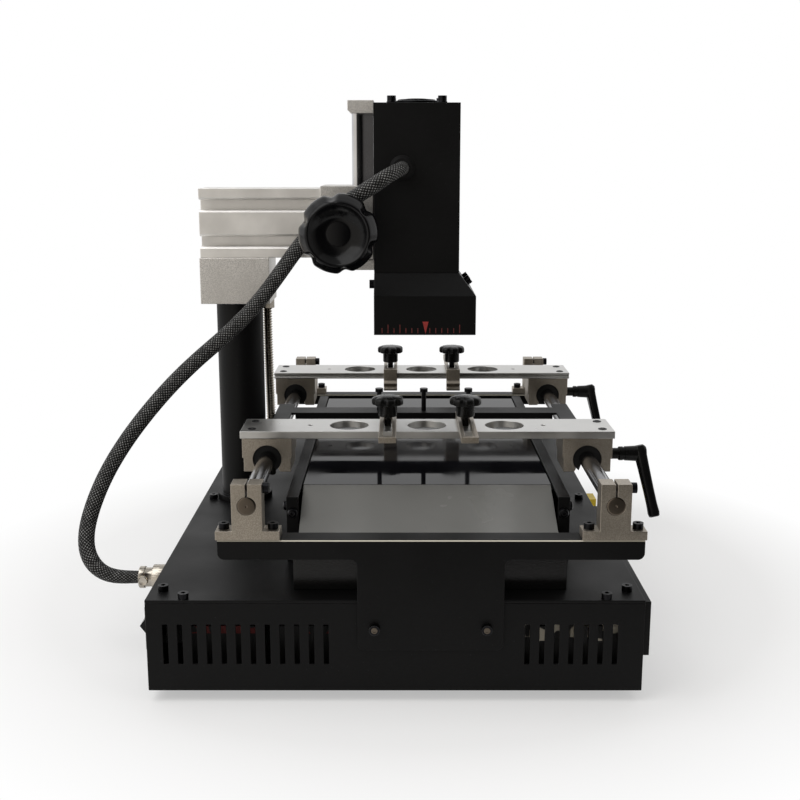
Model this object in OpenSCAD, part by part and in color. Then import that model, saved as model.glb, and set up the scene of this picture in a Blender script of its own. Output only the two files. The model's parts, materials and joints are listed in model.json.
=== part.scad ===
// Infrared rework station: a lifting heater head on a column arm, over a preheater with a sliding board clamp

/* [Base] */
// Width of the base from the column side to the panel side
base_w = 330; // [310:1:360]
// Depth of the base along the guide rods
base_d = 476; // [460:2:520]
// Height of the base with its cover
base_h = 64; // [60:1:80]
// Sheet thickness of the chassis
sheet = 1.5; // [1:0.5:2]
// Thickness of the top cover
cover_t = 2; // [1.5:0.5:3]
// Height of the rubber feet
foot_h = 8; // [5:1:12]
// Diameter of a rubber foot
foot_d = 20; // [14:1:26]
// Height of a louvre slot
louvre_h = 28; // [20:1:32]
// Width of a louvre slot
louvre_w = 3.4; // [2.4:0.2:4]
// Distance between louvre slots
louvre_pitch = 9.7; // [8:0.1:9.8]
// Number of louvre slots on the column side
louvres_left = 12; // [4:1:12]
// Number of louvre slots on the panel side
louvres_right = 7; // [3:1:7]

/* [Control panel] */
// Length of the raised panel plate
panel_l = 212; // [200:1:230]
// Height of the panel plate
panel_h = 38; // [34:1:40]
// Thickness of the panel plate
panel_t = 4.5; // [3:0.5:6]
// Diameter of the start button
button_d = 12; // [9:1:16]
// Press depth of the start button
button_travel = 3; // [1:0.5:3]

/* [Board table] */
// Offset of the table centre from the base centre
table_x = 23.5; // [20:0.5:26]
// Height of the bracket top over the base cover
table_rise = 42.5; // [40:0.5:52]
// Width of the bracket beam
beam_w = 278; // [268:1:286]
// Height of the bracket beam's front face
beam_h = 13.5; // [11:0.5:18]
// Depth of the bracket's top flange
beam_flange = 16; // [15:1:30]
// Width of the bracket tongue
tongue_w = 96.5; // [80:0.5:110]
// Length of tongue lying on the base wall
tongue_lap = 34; // [26:1:40]
// Sheet thickness of the brackets
bracket_t = 2.5; // [2:0.5:4]
// Diameter of a guide rod
rod_d = 12; // [10:1:13]
// Distance between the guide rods
rod_pitch = 238; // [236:1:240]
// Height of the rod axis in its support
support_h = 23; // [21:0.5:26]

/* [Clamp bars] */
// Length of a clamp bar
bar_l = 277; // [272:1:282]
// Width of a clamp bar
bar_w = 42; // [38:1:44]
// Thickness of a clamp bar
bar_t = 5.5; // [5:0.5:8]
// Diameter of the lightening holes
bar_hole_d = 29; // [20:1:32]
// Distance between the lightening holes
bar_hole_pitch = 58.5; // [56:0.5:60]
// Height of the bar underside over the rod axis
block_rise = 16.5; // [15:0.5:20]
// Width of a bearing block
block_w = 37; // [34:1:40]
// Length of a bearing block along the rod
block_l = 36; // [30:1:36]
// Diameter of the bearing liner
liner_d = 21; // [18:0.5:22]
// Place of the front bar along the rods
front_bar_y = -106; // [-110:1:-102]
// Place of the rear bar along the rods
rear_bar_y = 128; // [124:1:132]

/* [Fingers and knobs] */
// Width of a slotted finger
finger_w = 12.5; // [11:0.5:15]
// Thickness of a slotted finger
finger_t = 4.5; // [3:0.5:5]
// Length of finger tail outside the bar
finger_tail = 36; // [30:1:42]
// Diameter of a star knob
knob_d = 24; // [20:1:28]
// Diameter of a knob stud
stud_d = 5; // [4:0.5:6]
// Length of a clamp lever
lever_l = 46; // [36:1:55]
// Lean of a clamp lever from straight down
lever_lean = 20; // [0:1:30]

/* [Support beam] */
// Depth of the beam strip
strip_d = 22; // [18:1:24]
// Height of the beam's front flange
strip_flange = 11; // [8:0.5:13]
// Distance between the support pins
pin_pitch = 38; // [30:1:44]
// Diameter of a support pin
pin_d = 4; // [3:0.5:5]
// Height of a pin top over the beam
pin_rise = 19; // [14:0.5:20]

/* [Bottom heater] */
// Width of the glass
glass_w = 184; // [170:1:186]
// Length of the glass
glass_l = 309; // [290:1:316]
// Thickness of the glass
glass_t = 4; // [3:0.5:6]
// Height of the heater rails over the cover
rail_h = 48; // [44:0.5:50]

/* [Column and arm] */
// Diameter of the column
column_d = 38; // [34:1:40]
// Visible height of the column
column_h = 169; // [166:1:190]
// Distance from the base centre to the column axis
column_x = 130; // [126:1:132]
// Width of the arm block
arm_block_w = 56; // [52:1:60]
// Height of the arm block
arm_block_h = 37; // [34:1:44]
// Height of the T-slot arm
arm_h = 55; // [52:1:60]
// Depth of the T-slot arm
arm_d = 40; // [36:1:46]
// Width of a T-slot mouth
slot_w = 8; // [6:0.5:9]
// Distance between the two T-slots
slot_pitch = 29; // [26:0.5:30]

/* [Lift slide] */
// Distance the head travels down
lift_travel = 50; // [30:1:50]
// Diameter of a lift guide rod
lift_rod_d = 8; // [6:0.5:9]
// Gear module of rack and pinion
gear_m = 1; // [0.9:0.05:1.1]
// Number of pinion teeth
pinion_teeth = 20; // [18:1:22]
// Diameter of the handwheel
wheel_d = 60; // [50:1:62]
// Thickness of the handwheel
wheel_t = 26; // [22:1:28]
// Diameter of the handwheel shaft
shaft_d = 10; // [8:0.5:11]

/* [Head] */
// Width of the head shell
head_w = 68; // [60:1:70]
// Depth of the head shell
head_d = 60; // [56:1:66]
// Flare of the hood beyond the shell
hood_flare = 15; // [10:0.5:18]
// Height of the sloped part of the hood
shoulder_h = 17; // [12:0.5:20]
// Height of the upright part of the hood
skirt_h = 31; // [26:0.5:33]
// Size of the square fan
fan_w = 50; // [46:1:52]

/* [Cable] */
// Diameter of the braided cable
cable_d = 12; // [10:0.5:13]
// Diameter of the sensor gooseneck
gooseneck_d = 8; // [6:0.5:8]

/* [Hidden] */
$fn = 48;

BLACK = [0.09, 0.09, 0.1];
DARK = [0.16, 0.16, 0.17];
SILVER = [0.72, 0.72, 0.7];
STEEL = [0.8, 0.81, 0.82];
RUBBER = [0.05, 0.05, 0.05];
YELLOW = [0.9, 0.72, 0.1];
CREAM = [0.85, 0.82, 0.74];
GLASS = [0.03, 0.03, 0.035];

// Clearances
fit = 0.05;
gap = 0.3;
eps = 0.01;

// Standard pieces
screw_d = 4;
screw_head_d = 7;
support_l = 14;
support_w = 42;
support_foot = 6;
support_neck = 20;
support_hole_pitch = 32;
flange_w = 16;
edge_inset = 9;

// Heights
base_top = foot_h + base_h;
cover_z = base_top - cover_t;
table_top = base_top + table_rise;
rod_z = table_top + support_h;
bar_z = rod_z + block_rise;
bar_top = bar_z + bar_t;
rail_top = base_top + rail_h;
glass_top = rail_top - 1;
glass_z = glass_top - glass_t;
block_z = base_top + column_h;
arm_z = block_z + arm_block_h;

// Places along the rods
wall_y = base_d / 2;
support_y = wall_y - 4;
rod_l = 2 * support_y + support_l;
heater_y = 27.8;
glass_y0 = heater_y - glass_l / 2;
glass_y1 = heater_y + glass_l / 2;
rail_lead = 36;
rail_tail = 8;
rail_y0 = glass_y0 - rail_lead;
rail_y1 = glass_y1 + rail_tail;
apron_foot_front = -wall_y + 19;
apron_foot_rear = wall_y - 25;

// Places across the machine, from the base centre
wall_x = base_w / 2;
rail_in = glass_w / 2 + 1;
rail_w = 8.5;
ledge_w = 7;
apron_t = 1.5;
shelf_z = base_top + 26;
apron_lip = 8;
rod_x = rod_pitch / 2;
block_out = table_x + rod_x + block_w / 2;
bracket_r = 4.5;
bend_r = 2;
lever_stud = 8;
lever_stud_d = 6;
lever_collar_d = 8.4;
lever_hub = 20.5;
lever_flare = 11;
lever_arm_t = 8;
lever_swing = (lever_l + 4) * sin(lever_flare) - lever_arm_t * (1 - cos(lever_flare));
socket_y = -wall_y + 84;
socket_z = base_top - 15.5;
socket_flange = 2.5;
socket_thread = 7;
lever_end = block_out + lever_stud + lever_hub + lever_swing;
base_x = -11;

// Blocks behind the louvres
relay_x = [-140, -84];
relay_w = 45;
relay_h = 37;
board_x = 84;
board_w = 66;
board_h = 42;
terminal_x = [8, 36, 46];
terminal_w = 8.5;
terminal_h = 12;

// Lift slide and head
head_reach = 112.5;
slide_l = 42.5;
head_x = -column_x + head_reach;
arm_end = head_x - slide_l;
arm_start = -column_x - arm_block_w / 2;
housing_z0 = arm_z - 1;
housing_z1 = arm_z + arm_h + 2;
housing_d = 52;
sunk = screw_d + 0.4;
plate_w = 20.5;
plate_d = 50;
lower_plate_t = 8;
upper_plate_t = 10;
lower_plate_z = housing_z0 - 0.5 - lower_plate_t;
upper_plate_z = housing_z1 + lift_travel + 6;
lift_rod_x = head_x - 13.5;
lift_rod_y = 15;
rack_back = head_x - 0.8;
rack_line = head_x - 15.5;
rack_w = 10;
pitch_r = gear_m * pinion_teeth / 2;
wheel_x = rack_line - pitch_r;
wheel_z = arm_z + 23.2;
wheel_back = -68;
head_z0 = lower_plate_z - 1.8;
head_z1 = upper_plate_z + 8;
head_cx = head_x + head_w / 2;
hood_z = head_z0 - shoulder_h - skirt_h;
hood_x1 = head_x + head_w + hood_flare - 2;
hood_y = head_d / 2 + hood_flare;
fan_t = 15;
fan_pitch = fan_w - 10;
grommet_x = head_x + 22.5;
grommet_z = head_z0 + 82.3;
grommet_out = 5;
grommet_y = -head_d / 2 - grommet_out;

// Clamp pieces
finger_gap = 3;
leg_t = 4;
leg_drop = 15;
knob_x = bar_hole_pitch / 2;
knob_stem = 9;
knob_head = 6.5;
strip_t = 2;
strip_z = rod_z + rod_d / 2 + 0.2;
strip_top = strip_z + strip_t;
strip_y = -2;
tab_y0 = strip_y - 36;
tab_y1 = strip_y + strip_d + 14;
tab_w = rod_d + 1.5;
pin_y = strip_y + strip_d / 2;
pin_places = [for (i = [-1 : 1]) table_x + i * pin_pitch];

// Control panel places
panel_y0 = -wall_y + 3;
panel_z0 = cover_z - panel_h;
panel_z = panel_z0 + panel_h / 2;
controller_y = [panel_y0 + 40, panel_y0 + 105];
button_y = panel_y0 + 155;
entry_y = -wall_y + 37;
entry_z = foot_h + 41;
rocker_y = -wall_y + 19;
rocker_in = 2;
rocker_l = 14.4;

// Screw places
cover_screws = [for (x = [-1, 1], y = [-1, 1]) [x * (wall_x - edge_inset), y * (wall_y - 18)],
    for (x = [-1, 1], y = [-1, 1]) [x * (wall_x - 25), y * (wall_y - 4)],
    for (x = [-1, 1]) [x * (wall_x - edge_inset), -8]];
support_screws = [for (x = [-1, 1], s = [-1, 1], y = [-1, 1])
    [table_x + x * rod_x + s * support_hole_pitch / 2, y * support_y]];
tongue_screw_x = 37;
tongue_screw_z = base_top - 18.5;

// Cable route from the plug to the grommet, measured from the base centre
plug_end = wall_x + 22;
cable_route = [[-plug_end, socket_y, socket_z], [-plug_end - 7, socket_y, socket_z],
    [-plug_end - 14, socket_y, socket_z], [-212, -152.5, 57.5], [-221.5, -149.5, 63], [-228, -145, 72.5],
    [-230, -136.5, 86], [-226, -127, 104], [-218, -115, 125], [-205, -101, 147], [-189, -88, 168],
    [-171.5, -76, 187.5], [-152, -66, 205.5], [-131.5, -58, 222], [-114.5, -52, 238.5], [-100.5, -48, 255.5],
    [-88, -46, 272.5], [-76.5, -46, 288.5], [-64, -47.5, 303], [-51, -53, 315.5], [-36.5, -60.5, 324],
    [-25, -68, 331.3], [-14.3, -68.8, 338], [-4.5, -63.5, 344.5], [3, -53, 348],
    [grommet_x, grommet_y - 9, grommet_z], [grommet_x, grommet_y - 4.5, grommet_z], [grommet_x, grommet_y, grommet_z]];
gooseneck_x = -column_x + 21;
gooseneck_y = 16;
gooseneck_end = base_top + 36;
gooseneck_route = [[gooseneck_x, gooseneck_y, block_z - 8], [gooseneck_x, gooseneck_y, block_z - 40],
    [gooseneck_x + 0.5, gooseneck_y + 1, block_z - 75], [gooseneck_x + 1, gooseneck_y + 1, block_z - 105],
    [gooseneck_x + 1, gooseneck_y, gooseneck_end]];

// A point on the smooth curve drawn by four route points
function spline(a, b, c, d, t) = (pow(1 - t, 3) * a + (3 * t * t * t - 6 * t * t + 4) * b
    + (3 * t + 3 * t * t - 3 * t * t * t + 1) * c + t * t * t * d) / 6;
function route_curve(r, steps) =
    let (n = len(r), e = concat([2 * r[0] - r[1]], r, [2 * r[n - 1] - r[n - 2]]))
    [for (i = [0 : n - 2], k = [0 : steps - 1]) spline(e[i], e[i + 1], e[i + 2], e[i + 3], k / steps), r[n - 1]];
function unit(v) = v / norm(v);
function tangents(p) = [for (i = [0 : len(p) - 1]) unit(p[min(i + 1, len(p) - 1)] - p[max(i - 1, 0)])];
function side_of(t, ref) = unit(ref - t * (ref * t));
function frames(t, i, ref) = let (s = side_of(t[i], ref))
    i == len(t) - 1 ? [s] : concat([s], frames(t, i + 1, s));

// A round tube swept along a route
module swept_tube(route, d, steps, sides) {
    path = route_curve(route, steps);
    dirs = tangents(path);
    refs = frames(dirs, 0, abs(dirs[0][2]) < 0.9 ? [0, 0, 1] : [0, 1, 0]);
    last = len(path) - 1;
    points = [for (i = [0 : last], k = [0 : sides - 1])
        let (a = k * 360 / sides, u = refs[i], v = cross(dirs[i], u))
        path[i] + d / 2 * (cos(a) * u + sin(a) * v)];
    walls = [for (i = [0 : last - 1], k = [0 : sides - 1])
        let (m = (k + 1) % sides, a = i * sides, b = a + sides)
        each [[a + k, b + m, a + m], [a + k, b + k, b + m]]];
    ends = [[for (k = [0 : sides - 1]) k], [for (k = [sides - 1 : -1 : 0]) last * sides + k]];
    polyhedron(points, concat(walls, ends));
}

// Shared shapes
module on_base() translate([base_x, 0, 0]) children();
module at_table() translate([base_x + table_x, 0, 0]) children();
module along_x() rotate([0, 90, 0]) children();
module along_y() rotate([-90, 0, 0]) children();
module both_sides() for (s = [0, 1]) mirror([s, 0, 0]) children();
module front_and_rear() for (s = [0, 1]) mirror([0, s, 0]) children();

// A cap screw with its head seated at z = 0 and its shank below
module cap_screw(shank) {
    difference() {
        cylinder(d = screw_head_d, h = screw_d);
        translate([0, 0, screw_d - 2]) cylinder(d = 3.5, h = 3, $fn = 6);
    }
    translate([0, 0, -shank]) cylinder(d = screw_d, h = shank + eps);
}

module screw_hole(depth) translate([0, 0, -depth]) cylinder(d = screw_d + 2 * fit, h = depth + 1);

// A rectangle with rounded lower corners, its top edge on the axis
module tab_outline(w, h, r) {
    translate([-w / 2, -h + r]) square([w, h - r]);
    translate([-w / 2 + r, -h]) square([w - 2 * r, r + eps]);
    both_sides() translate([w / 2 - r, -h + r]) circle(r);
}

// Base
module louvre_row() {
    for (i = [0 : louvres_left - 1]) translate([-wall_x + 12.7 + i * louvre_pitch, 0]) louvre();
    for (i = [0 : louvres_right - 1]) translate([wall_x - 19 - i * louvre_pitch, 0]) louvre();
}

module louvre() translate([-louvre_w / 2, foot_h + 33 - louvre_h / 2]) square([louvre_w, louvre_h]);

module base_chassis() color(BLACK) on_base() difference() {
    translate([-wall_x, -wall_y, foot_h]) cube([base_w, base_d, base_h - cover_t]);
    translate([-wall_x + sheet, -wall_y + sheet, foot_h + sheet])
        cube([base_w - 2 * sheet, base_d - 2 * sheet, base_h - cover_t - 2 * sheet]);
    translate([-wall_x + flange_w, -wall_y + flange_w, cover_z - sheet - 1])
        cube([base_w - 2 * flange_w, base_d - 2 * flange_w, sheet + 2]);
    front_and_rear() translate([0, -wall_y + sheet + 1, 0]) rotate([90, 0, 0])
        linear_extrude(sheet + 2) louvre_row();
    for (p = cover_screws) translate([p[0], p[1], cover_z]) screw_hole(sheet + 1);
    front_and_rear() both_tongue_screws() screw_hole(bracket_t + sheet + 1);
    translate([-wall_x - 1, entry_y - 26, entry_z - 12]) cube([sheet + 2, 52, 24]);
    translate([-wall_x - 1, socket_y, socket_z]) along_x() cylinder(d = 16.4, h = sheet + 2);
    for (y = controller_y) translate([wall_x - sheet - 1, y - 22.5, panel_z - 11]) cube([sheet + 2, 45, 22]);
    translate([wall_x - sheet - 1, button_y, panel_z]) along_x() cylinder(d = button_d + 1, h = sheet + 2);
    translate([wall_x - sheet - 1, 12.5, cover_z - 13]) cube([sheet + 2, 11, 6]);
}

module top_cover() color(BLACK) on_base() difference() {
    translate([-wall_x, -wall_y, cover_z]) cube([base_w, base_d, cover_t]);
    for (p = cover_screws) translate([p[0], p[1], base_top]) screw_hole(cover_t + 1);
}

module rubber_feet() color(RUBBER) on_base()
    front_and_rear() both_sides() translate([wall_x - 30, wall_y - 30, 0])
        cylinder(d1 = foot_d * 0.8, d2 = foot_d, h = foot_h);

module both_tongue_screws() both_sides_of_table() translate([tongue_screw_x, -wall_y - bracket_t, tongue_screw_z])
    rotate([90, 0, 0]) children();

module both_sides_of_table() translate([table_x, 0, 0]) both_sides() children();

module cap_screws() color(BLACK) on_base() {
    for (p = cover_screws) translate([p[0], p[1], base_top]) cap_screw(cover_t + sheet + 2);
    for (p = support_screws) translate([p[0], p[1], table_top + support_foot])
        cap_screw(support_foot + bracket_t + 2);
    front_and_rear() both_tongue_screws() cap_screw(bracket_t + sheet + 3);
    for (x = [-1, 1], y = [-1, 1])
        translate([table_x + x * rod_x + support_neck / 2, y * support_y, rod_z + rod_d / 2 + 4.5]) along_x()
            cap_screw(support_neck - 2);
    for (y = [-1, 1]) translate([arm_end + 6, y * 17, housing_z1 - sunk]) cap_screw(8);
}

// Power entry, heater socket and control panel
module power_entry() color(BLACK) on_base() difference() {
    union() {
        translate([-wall_x - 2, entry_y - 29, entry_z - 15]) cube([2, 58, 30]);
        translate([-wall_x, entry_y - 25.7, entry_z - 11.7]) cube([25, 51.4, 23.4]);
    }
    translate([-wall_x - 3, rocker_y - rocker_l / 2 - 0.5, entry_z - 6.8]) cube([14, rocker_l + 1, 13.6]);
    translate([-wall_x - 3, entry_y - 7, entry_z - 8.2]) cube([18, 25, 16.4]);
}

module power_rocker() color(DARK) on_base()
    translate([-wall_x + rocker_in, rocker_y, entry_z]) rotate([90, 0, 0]) {
        translate([0, 0, -rocker_l / 2]) linear_extrude(rocker_l)
            polygon([[3, 4.5], [-4.4, 5.7], [-8.6, 0], [-4.4, -5.7], [3, -4.5]]);
        translate([0, 0, -rocker_l / 2 - 0.2]) cylinder(d = 3, h = rocker_l + 0.4);
    }

module heater_socket() color(STEEL) on_base() translate([-wall_x, socket_y, socket_z]) along_x() {
    translate([0, 0, -socket_flange]) cylinder(d = 19, h = socket_flange);
    translate([0, 0, -socket_flange - socket_thread]) cylinder(d = 15, h = socket_thread + eps);
    translate([0, 0, -eps]) cylinder(d = 16, h = 14);
    translate([0, 0, sheet]) cylinder(d = 22, h = 3, $fn = 6);
}

module heater_plug() color(STEEL) on_base() translate([-wall_x, socket_y, socket_z]) along_x() difference() {
    union() {
        translate([0, 0, -12]) cylinder(d = 18.6, h = 12 - socket_flange - 0.2);
        translate([0, 0, -22]) cylinder(d = 14, h = 11);
        translate([0, 0, -22]) cylinder(d = 16, h = 4);
    }
    translate([0, 0, -socket_flange - socket_thread - 0.3]) cylinder(d = 15.6, h = 20);
}

module control_panel() color(BLACK) on_base() difference() {
    translate([wall_x, panel_y0, panel_z0]) cube([panel_t, panel_l, panel_h]);
    for (y = controller_y) translate([wall_x - 1, y - 22.5, panel_z - 11]) cube([panel_t + 2, 45, 22]);
    translate([wall_x - 1, button_y, panel_z]) along_x() cylinder(d = button_d + 2 * fit, h = panel_t + 2);
}

module temperature_controllers() color(DARK) on_base() for (y = controller_y) difference() {
    union() {
        translate([wall_x + panel_t, y - 24.5, panel_z - 13]) cube([3, 49, 26]);
        translate([wall_x - 40, y - 22.2, panel_z - 10.7]) cube([40 + panel_t + eps, 44.4, 21.4]);
    }
    translate([wall_x + panel_t + 2, y - 21, panel_z - 2]) cube([2, 42, 12]);
}

module start_button() color(DARK) on_base() translate([wall_x - 4, button_y, panel_z]) along_x() {
    cylinder(d = button_d, h = 4 + panel_t + 4.5);
    cylinder(d = button_d + 0.8, h = 3 - gap);
}

module thermocouple_socket() color(YELLOW) on_base() difference() {
    union() {
        translate([wall_x, 9, cover_z - 16]) cube([9, 18, 12]);
        translate([wall_x - 8, 13, cover_z - 12.6]) cube([8 + eps, 10, 5.2]);
    }
    for (y = [12.5, 20]) translate([wall_x + 3, y, cover_z - 10.8]) cube([8, 3.5, 1.2]);
}

module power_electronics() color(CREAM) on_base() {
    for (x = relay_x) translate([x, -wall_y + 18, foot_h + sheet]) cube([relay_w, 58, relay_h]);
    translate([board_x, -wall_y + 12, foot_h + sheet]) cube([board_w, 3, board_h]);
    for (x = terminal_x) translate([board_x + x, -wall_y + 6, foot_h + sheet + board_h - terminal_h])
        cube([terminal_w, 6 + eps, terminal_h]);
}

// Bottom heater
module heater_rails() color(BLACK) at_table() both_sides() {
    translate([rail_in + rail_w - 2, rail_y0, base_top]) cube([2, rail_y1 - rail_y0, rail_h]);
    translate([rail_in, rail_y0, rail_top - 2]) cube([rail_w, rail_y1 - rail_y0, 2]);
    translate([rail_in - 3, rail_y0, base_top]) cube([rail_w + 3, rail_y1 - rail_y0, 2]);
    translate([rail_in - ledge_w, glass_y0 + 1, glass_z - 2]) cube([rail_w + ledge_w, glass_l - 2, 2]);
    for (y = [rail_y0, rail_y1 - 2]) translate([rail_in, y, base_top]) cube([rail_w, 2, rail_h]);
}

// A sheet drawn along the rods: up from the cover, flat, then sloped up to the glass
module apron_fold(y_face, y_high) {
    dir = sign(y_high - y_face);
    y_knee = (y_face + y_high) / 2;
    run = abs(y_high - y_knee);
    rise = glass_top - shelf_z;
    y_under = y_knee + dir * apron_t * tan(atan2(rise, run) / 2);
    y_seat = y_under + dir * (glass_z - shelf_z) * run / rise;
    polygon([[y_face, base_top], [y_face, shelf_z], [y_knee, shelf_z], [y_high, glass_top], [y_high, glass_z - apron_t],
        [y_seat, glass_z - apron_t], [y_under, shelf_z - apron_t], [y_face + dir * apron_t, shelf_z - apron_t],
        [y_face + dir * apron_t, base_top]]);
}

// The same from the cover up to the glass in one slope
module apron_slope(y_low, y_high) {
    run = abs(y_high - y_low);
    rise = glass_top - base_top;
    dir = sign(y_high - y_low);
    foot = apron_t * norm([run, rise]) / rise;
    under = glass_z - apron_t - base_top;
    polygon([[y_low, base_top], [y_high, glass_top], [y_high, glass_z - apron_t],
        [y_low + dir * (foot + under * run / rise), glass_z - apron_t], [y_low + dir * foot, base_top]]);
}

module apron_lip(y_edge, dir) {
    lip_w = 2 * (rail_in - ledge_w) - 1;
    translate([-lip_w / 2, min(y_edge - dir * eps, y_edge + dir * apron_lip), glass_z - apron_t])
        cube([lip_w, apron_lip + eps, apron_t]);
}

module across_glass() translate([-glass_w / 2, 0, 0]) rotate([90, 0, 90]) linear_extrude(glass_w) children();

module heater_aprons() color(DARK) at_table() {
    across_glass() apron_fold(apron_foot_front, glass_y0 - gap);
    apron_lip(glass_y0 - gap, 1);
    across_glass() apron_slope(apron_foot_rear, glass_y1 + gap);
    apron_lip(glass_y1 + gap, -1);
}

module heater_glass() color(GLASS) at_table()
    translate([-glass_w / 2, glass_y0, glass_z]) cube([glass_w, glass_l, glass_t]);

module bottom_heater() color(CREAM) at_table() {
    w = glass_w - 24;
    translate([-w / 2, glass_y0 + 16, base_top]) cube([w, glass_l - 32, rail_h - 22]);
    for (i = [0 : 4]) translate([-w / 2 + 4, glass_y0 + 20 + i * (glass_l - 40) / 5, base_top + rail_h - 22 - eps])
        cube([w - 8, (glass_l - 40) / 5 - 3, 8]);
}

// Board table
module bracket() difference() {
    union() {
        translate([0, -wall_y, table_top]) rotate([90, 0, 0]) linear_extrude(bracket_t) {
            tab_outline(beam_w, beam_h, bracket_r);
            tab_outline(tongue_w, table_rise + tongue_lap, bracket_r);
            both_sides() translate([tongue_w / 2 - eps, -beam_h - bracket_r]) difference() {
                square([bracket_r, bracket_r + eps]);
                translate([bracket_r, 0]) circle(bracket_r);
            }
        }
        translate([-beam_w / 2, -wall_y - bracket_t, table_top - bracket_t])
            cube([beam_w, beam_flange, bracket_t]);
    }
    translate([-beam_w / 2 - 1, -wall_y - bracket_t, table_top]) rotate([90, 0, 90]) linear_extrude(beam_w + 2)
        difference() {
            translate([-1, -bend_r]) square([1 + bend_r, bend_r + 1]);
            translate([bend_r, -bend_r]) circle(bend_r);
        }
    for (x = [-1, 1], s = [-1, 1])
        translate([x * rod_x + s * support_hole_pitch / 2, -support_y, table_top]) screw_hole(bracket_t + 1);
    for (s = [-1, 1]) translate([s * tongue_screw_x, -wall_y - bracket_t, tongue_screw_z]) rotate([90, 0, 0])
        screw_hole(bracket_t + 1);
}

module front_bracket() color(BLACK) at_table() bracket();

module rear_bracket() color(BLACK) at_table() mirror([0, 1, 0]) bracket();

module shaft_support() difference() {
    along_y() translate([0, 0, -support_l / 2]) linear_extrude(support_l) difference() {
        union() {
            translate([-support_w / 2, -support_foot]) square([support_w, support_foot]);
            translate([-support_neck / 2, -support_h - 14.5]) square([support_neck, support_h + 14.5]);
        }
        translate([0, -support_h]) circle(d = rod_d + 2 * fit);
        translate([-0.6, -support_h - 15]) square([1.2, 15]);
    }
    for (s = [-1, 1]) translate([s * support_hole_pitch / 2, 0, support_foot]) screw_hole(support_foot + 1);
    translate([support_neck / 2, 0, support_h + rod_d / 2 + 4.5]) along_x() screw_hole(support_neck - 1.9);
}

module shaft_supports() color(SILVER) at_table()
    for (x = [-1, 1], y = [-1, 1]) translate([x * rod_x, y * support_y, table_top]) shaft_support();

module guide_rods() color(STEEL) at_table()
    for (s = [-1, 1]) translate([s * rod_x, -rod_l / 2, rod_z]) along_y() cylinder(d = rod_d, h = rod_l);

// Column and arm
module column() color(BLACK) on_base() translate([-column_x, 0, base_top]) {
    cylinder(d = column_d, h = column_h + 25);
    cylinder(d = column_d + 8, h = 5);
}

module arm_block() color(SILVER) on_base() difference() {
    translate([-column_x - arm_block_w / 2, -25, block_z]) cube([arm_block_w, 50, arm_block_h]);
    translate([-column_x, 0, block_z - 1]) cylinder(d = column_d + 2 * fit, h = 26 + gap);
}

module t_slot(depth) {
    translate([-slot_w / 2, -eps]) square([slot_w, depth]);
    translate([-slot_w / 2 - 3, 3]) square([slot_w + 6, depth - 3]);
    polygon([[-slot_w / 2 - 1.7, -eps], [slot_w / 2 + 1.7, -eps], [slot_w / 2, 1.7], [-slot_w / 2, 1.7]]);
}

module arm_section() difference() {
    translate([-arm_d / 2, 0]) square([arm_d, arm_h]);
    for (s = [-1, 1]) translate([0, arm_h / 2 + s * slot_pitch / 2]) {
        both_sides() translate([-arm_d / 2, 0]) rotate(-90) t_slot(9);
        circle(d = 7);
    }
    translate([0, arm_h]) rotate(180) t_slot(7);
    t_slot(7);
}

module arm_profile() color(SILVER) on_base() translate([arm_start, 0, arm_z]) rotate([90, 0, 90])
    linear_extrude(arm_end - arm_start) arm_section();

module sensor_gooseneck() color(STEEL) on_base() {
    swept_tube(gooseneck_route, gooseneck_d, 4, 12);
    translate([gooseneck_x, gooseneck_y, block_z - 8]) cylinder(d = gooseneck_d + 4, h = 8, $fn = 6);
    translate([gooseneck_x + 1, gooseneck_y, gooseneck_end - 22]) cylinder(d = gooseneck_d - 2, h = 22);
}

// Lift slide
module slide_housing() color(SILVER) on_base() difference() {
    translate([arm_end, -housing_d / 2, housing_z0]) cube([head_x - 0.6 - arm_end, housing_d, housing_z1 - housing_z0]);
    for (s = [-1, 1]) translate([lift_rod_x, s * lift_rod_y, housing_z0 - 1])
        cylinder(d = lift_rod_d + 2 * fit, h = housing_z1 - housing_z0 + 2);
    translate([rack_line - gear_m - 1, -rack_w / 2 - 0.6, housing_z0 - 1])
        cube([rack_back - rack_line + gear_m + 1.6, rack_w + 1.2, housing_z1 - housing_z0 + 2]);
    translate([wheel_x, -6.6, wheel_z]) along_y() cylinder(r = pitch_r + gear_m + 0.6, h = 13.2);
    translate([wheel_x, -housing_d / 2 - 1, wheel_z]) along_y() cylinder(d = shaft_d + 2 * fit, h = housing_d / 2);
    translate([wheel_x, 0, wheel_z]) along_y() cylinder(d = shaft_d - 2 + 2 * fit, h = 20);
    for (y = [-1, 1]) translate([arm_end + 6, y * 17, housing_z1 - sunk]) {
        screw_hole(8.1);
        cylinder(d = screw_head_d + 1, h = sunk + 1);
    }
}

// Gear teeth: involute flanks on the pinion, straight flanks on the rack
backlash = 0.12;
pressure = 20;
base_r = pitch_r * cos(pressure);
tip_r = pitch_r + 0.9 * gear_m;
root_r = pitch_r - 1.15 * gear_m;
tooth_p = PI * gear_m;
function inv_deg(a) = tan(a) * 180 / PI - a;
function half_angle(r) = 90 / pinion_teeth - backlash / pitch_r * 45 / PI + inv_deg(pressure)
    - inv_deg(acos(min(1, base_r / r)));
flank_r = [for (k = [0 : 4]) max(base_r, root_r) + k / 4 * (tip_r - max(base_r, root_r))];
function polar(r, a) = [r * cos(a), r * sin(a)];

module pinion_outline() polygon([for (i = [0 : pinion_teeth - 1])
    let (c = i * 360 / pinion_teeth, low = half_angle(flank_r[0]))
    each concat([polar(root_r, c - low)], [for (r = flank_r) polar(r, c - half_angle(r))],
        [for (k = [4 : -1 : 0]) polar(flank_r[k], c + half_angle(flank_r[k]))], [polar(root_r, c + low)])]);

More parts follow.
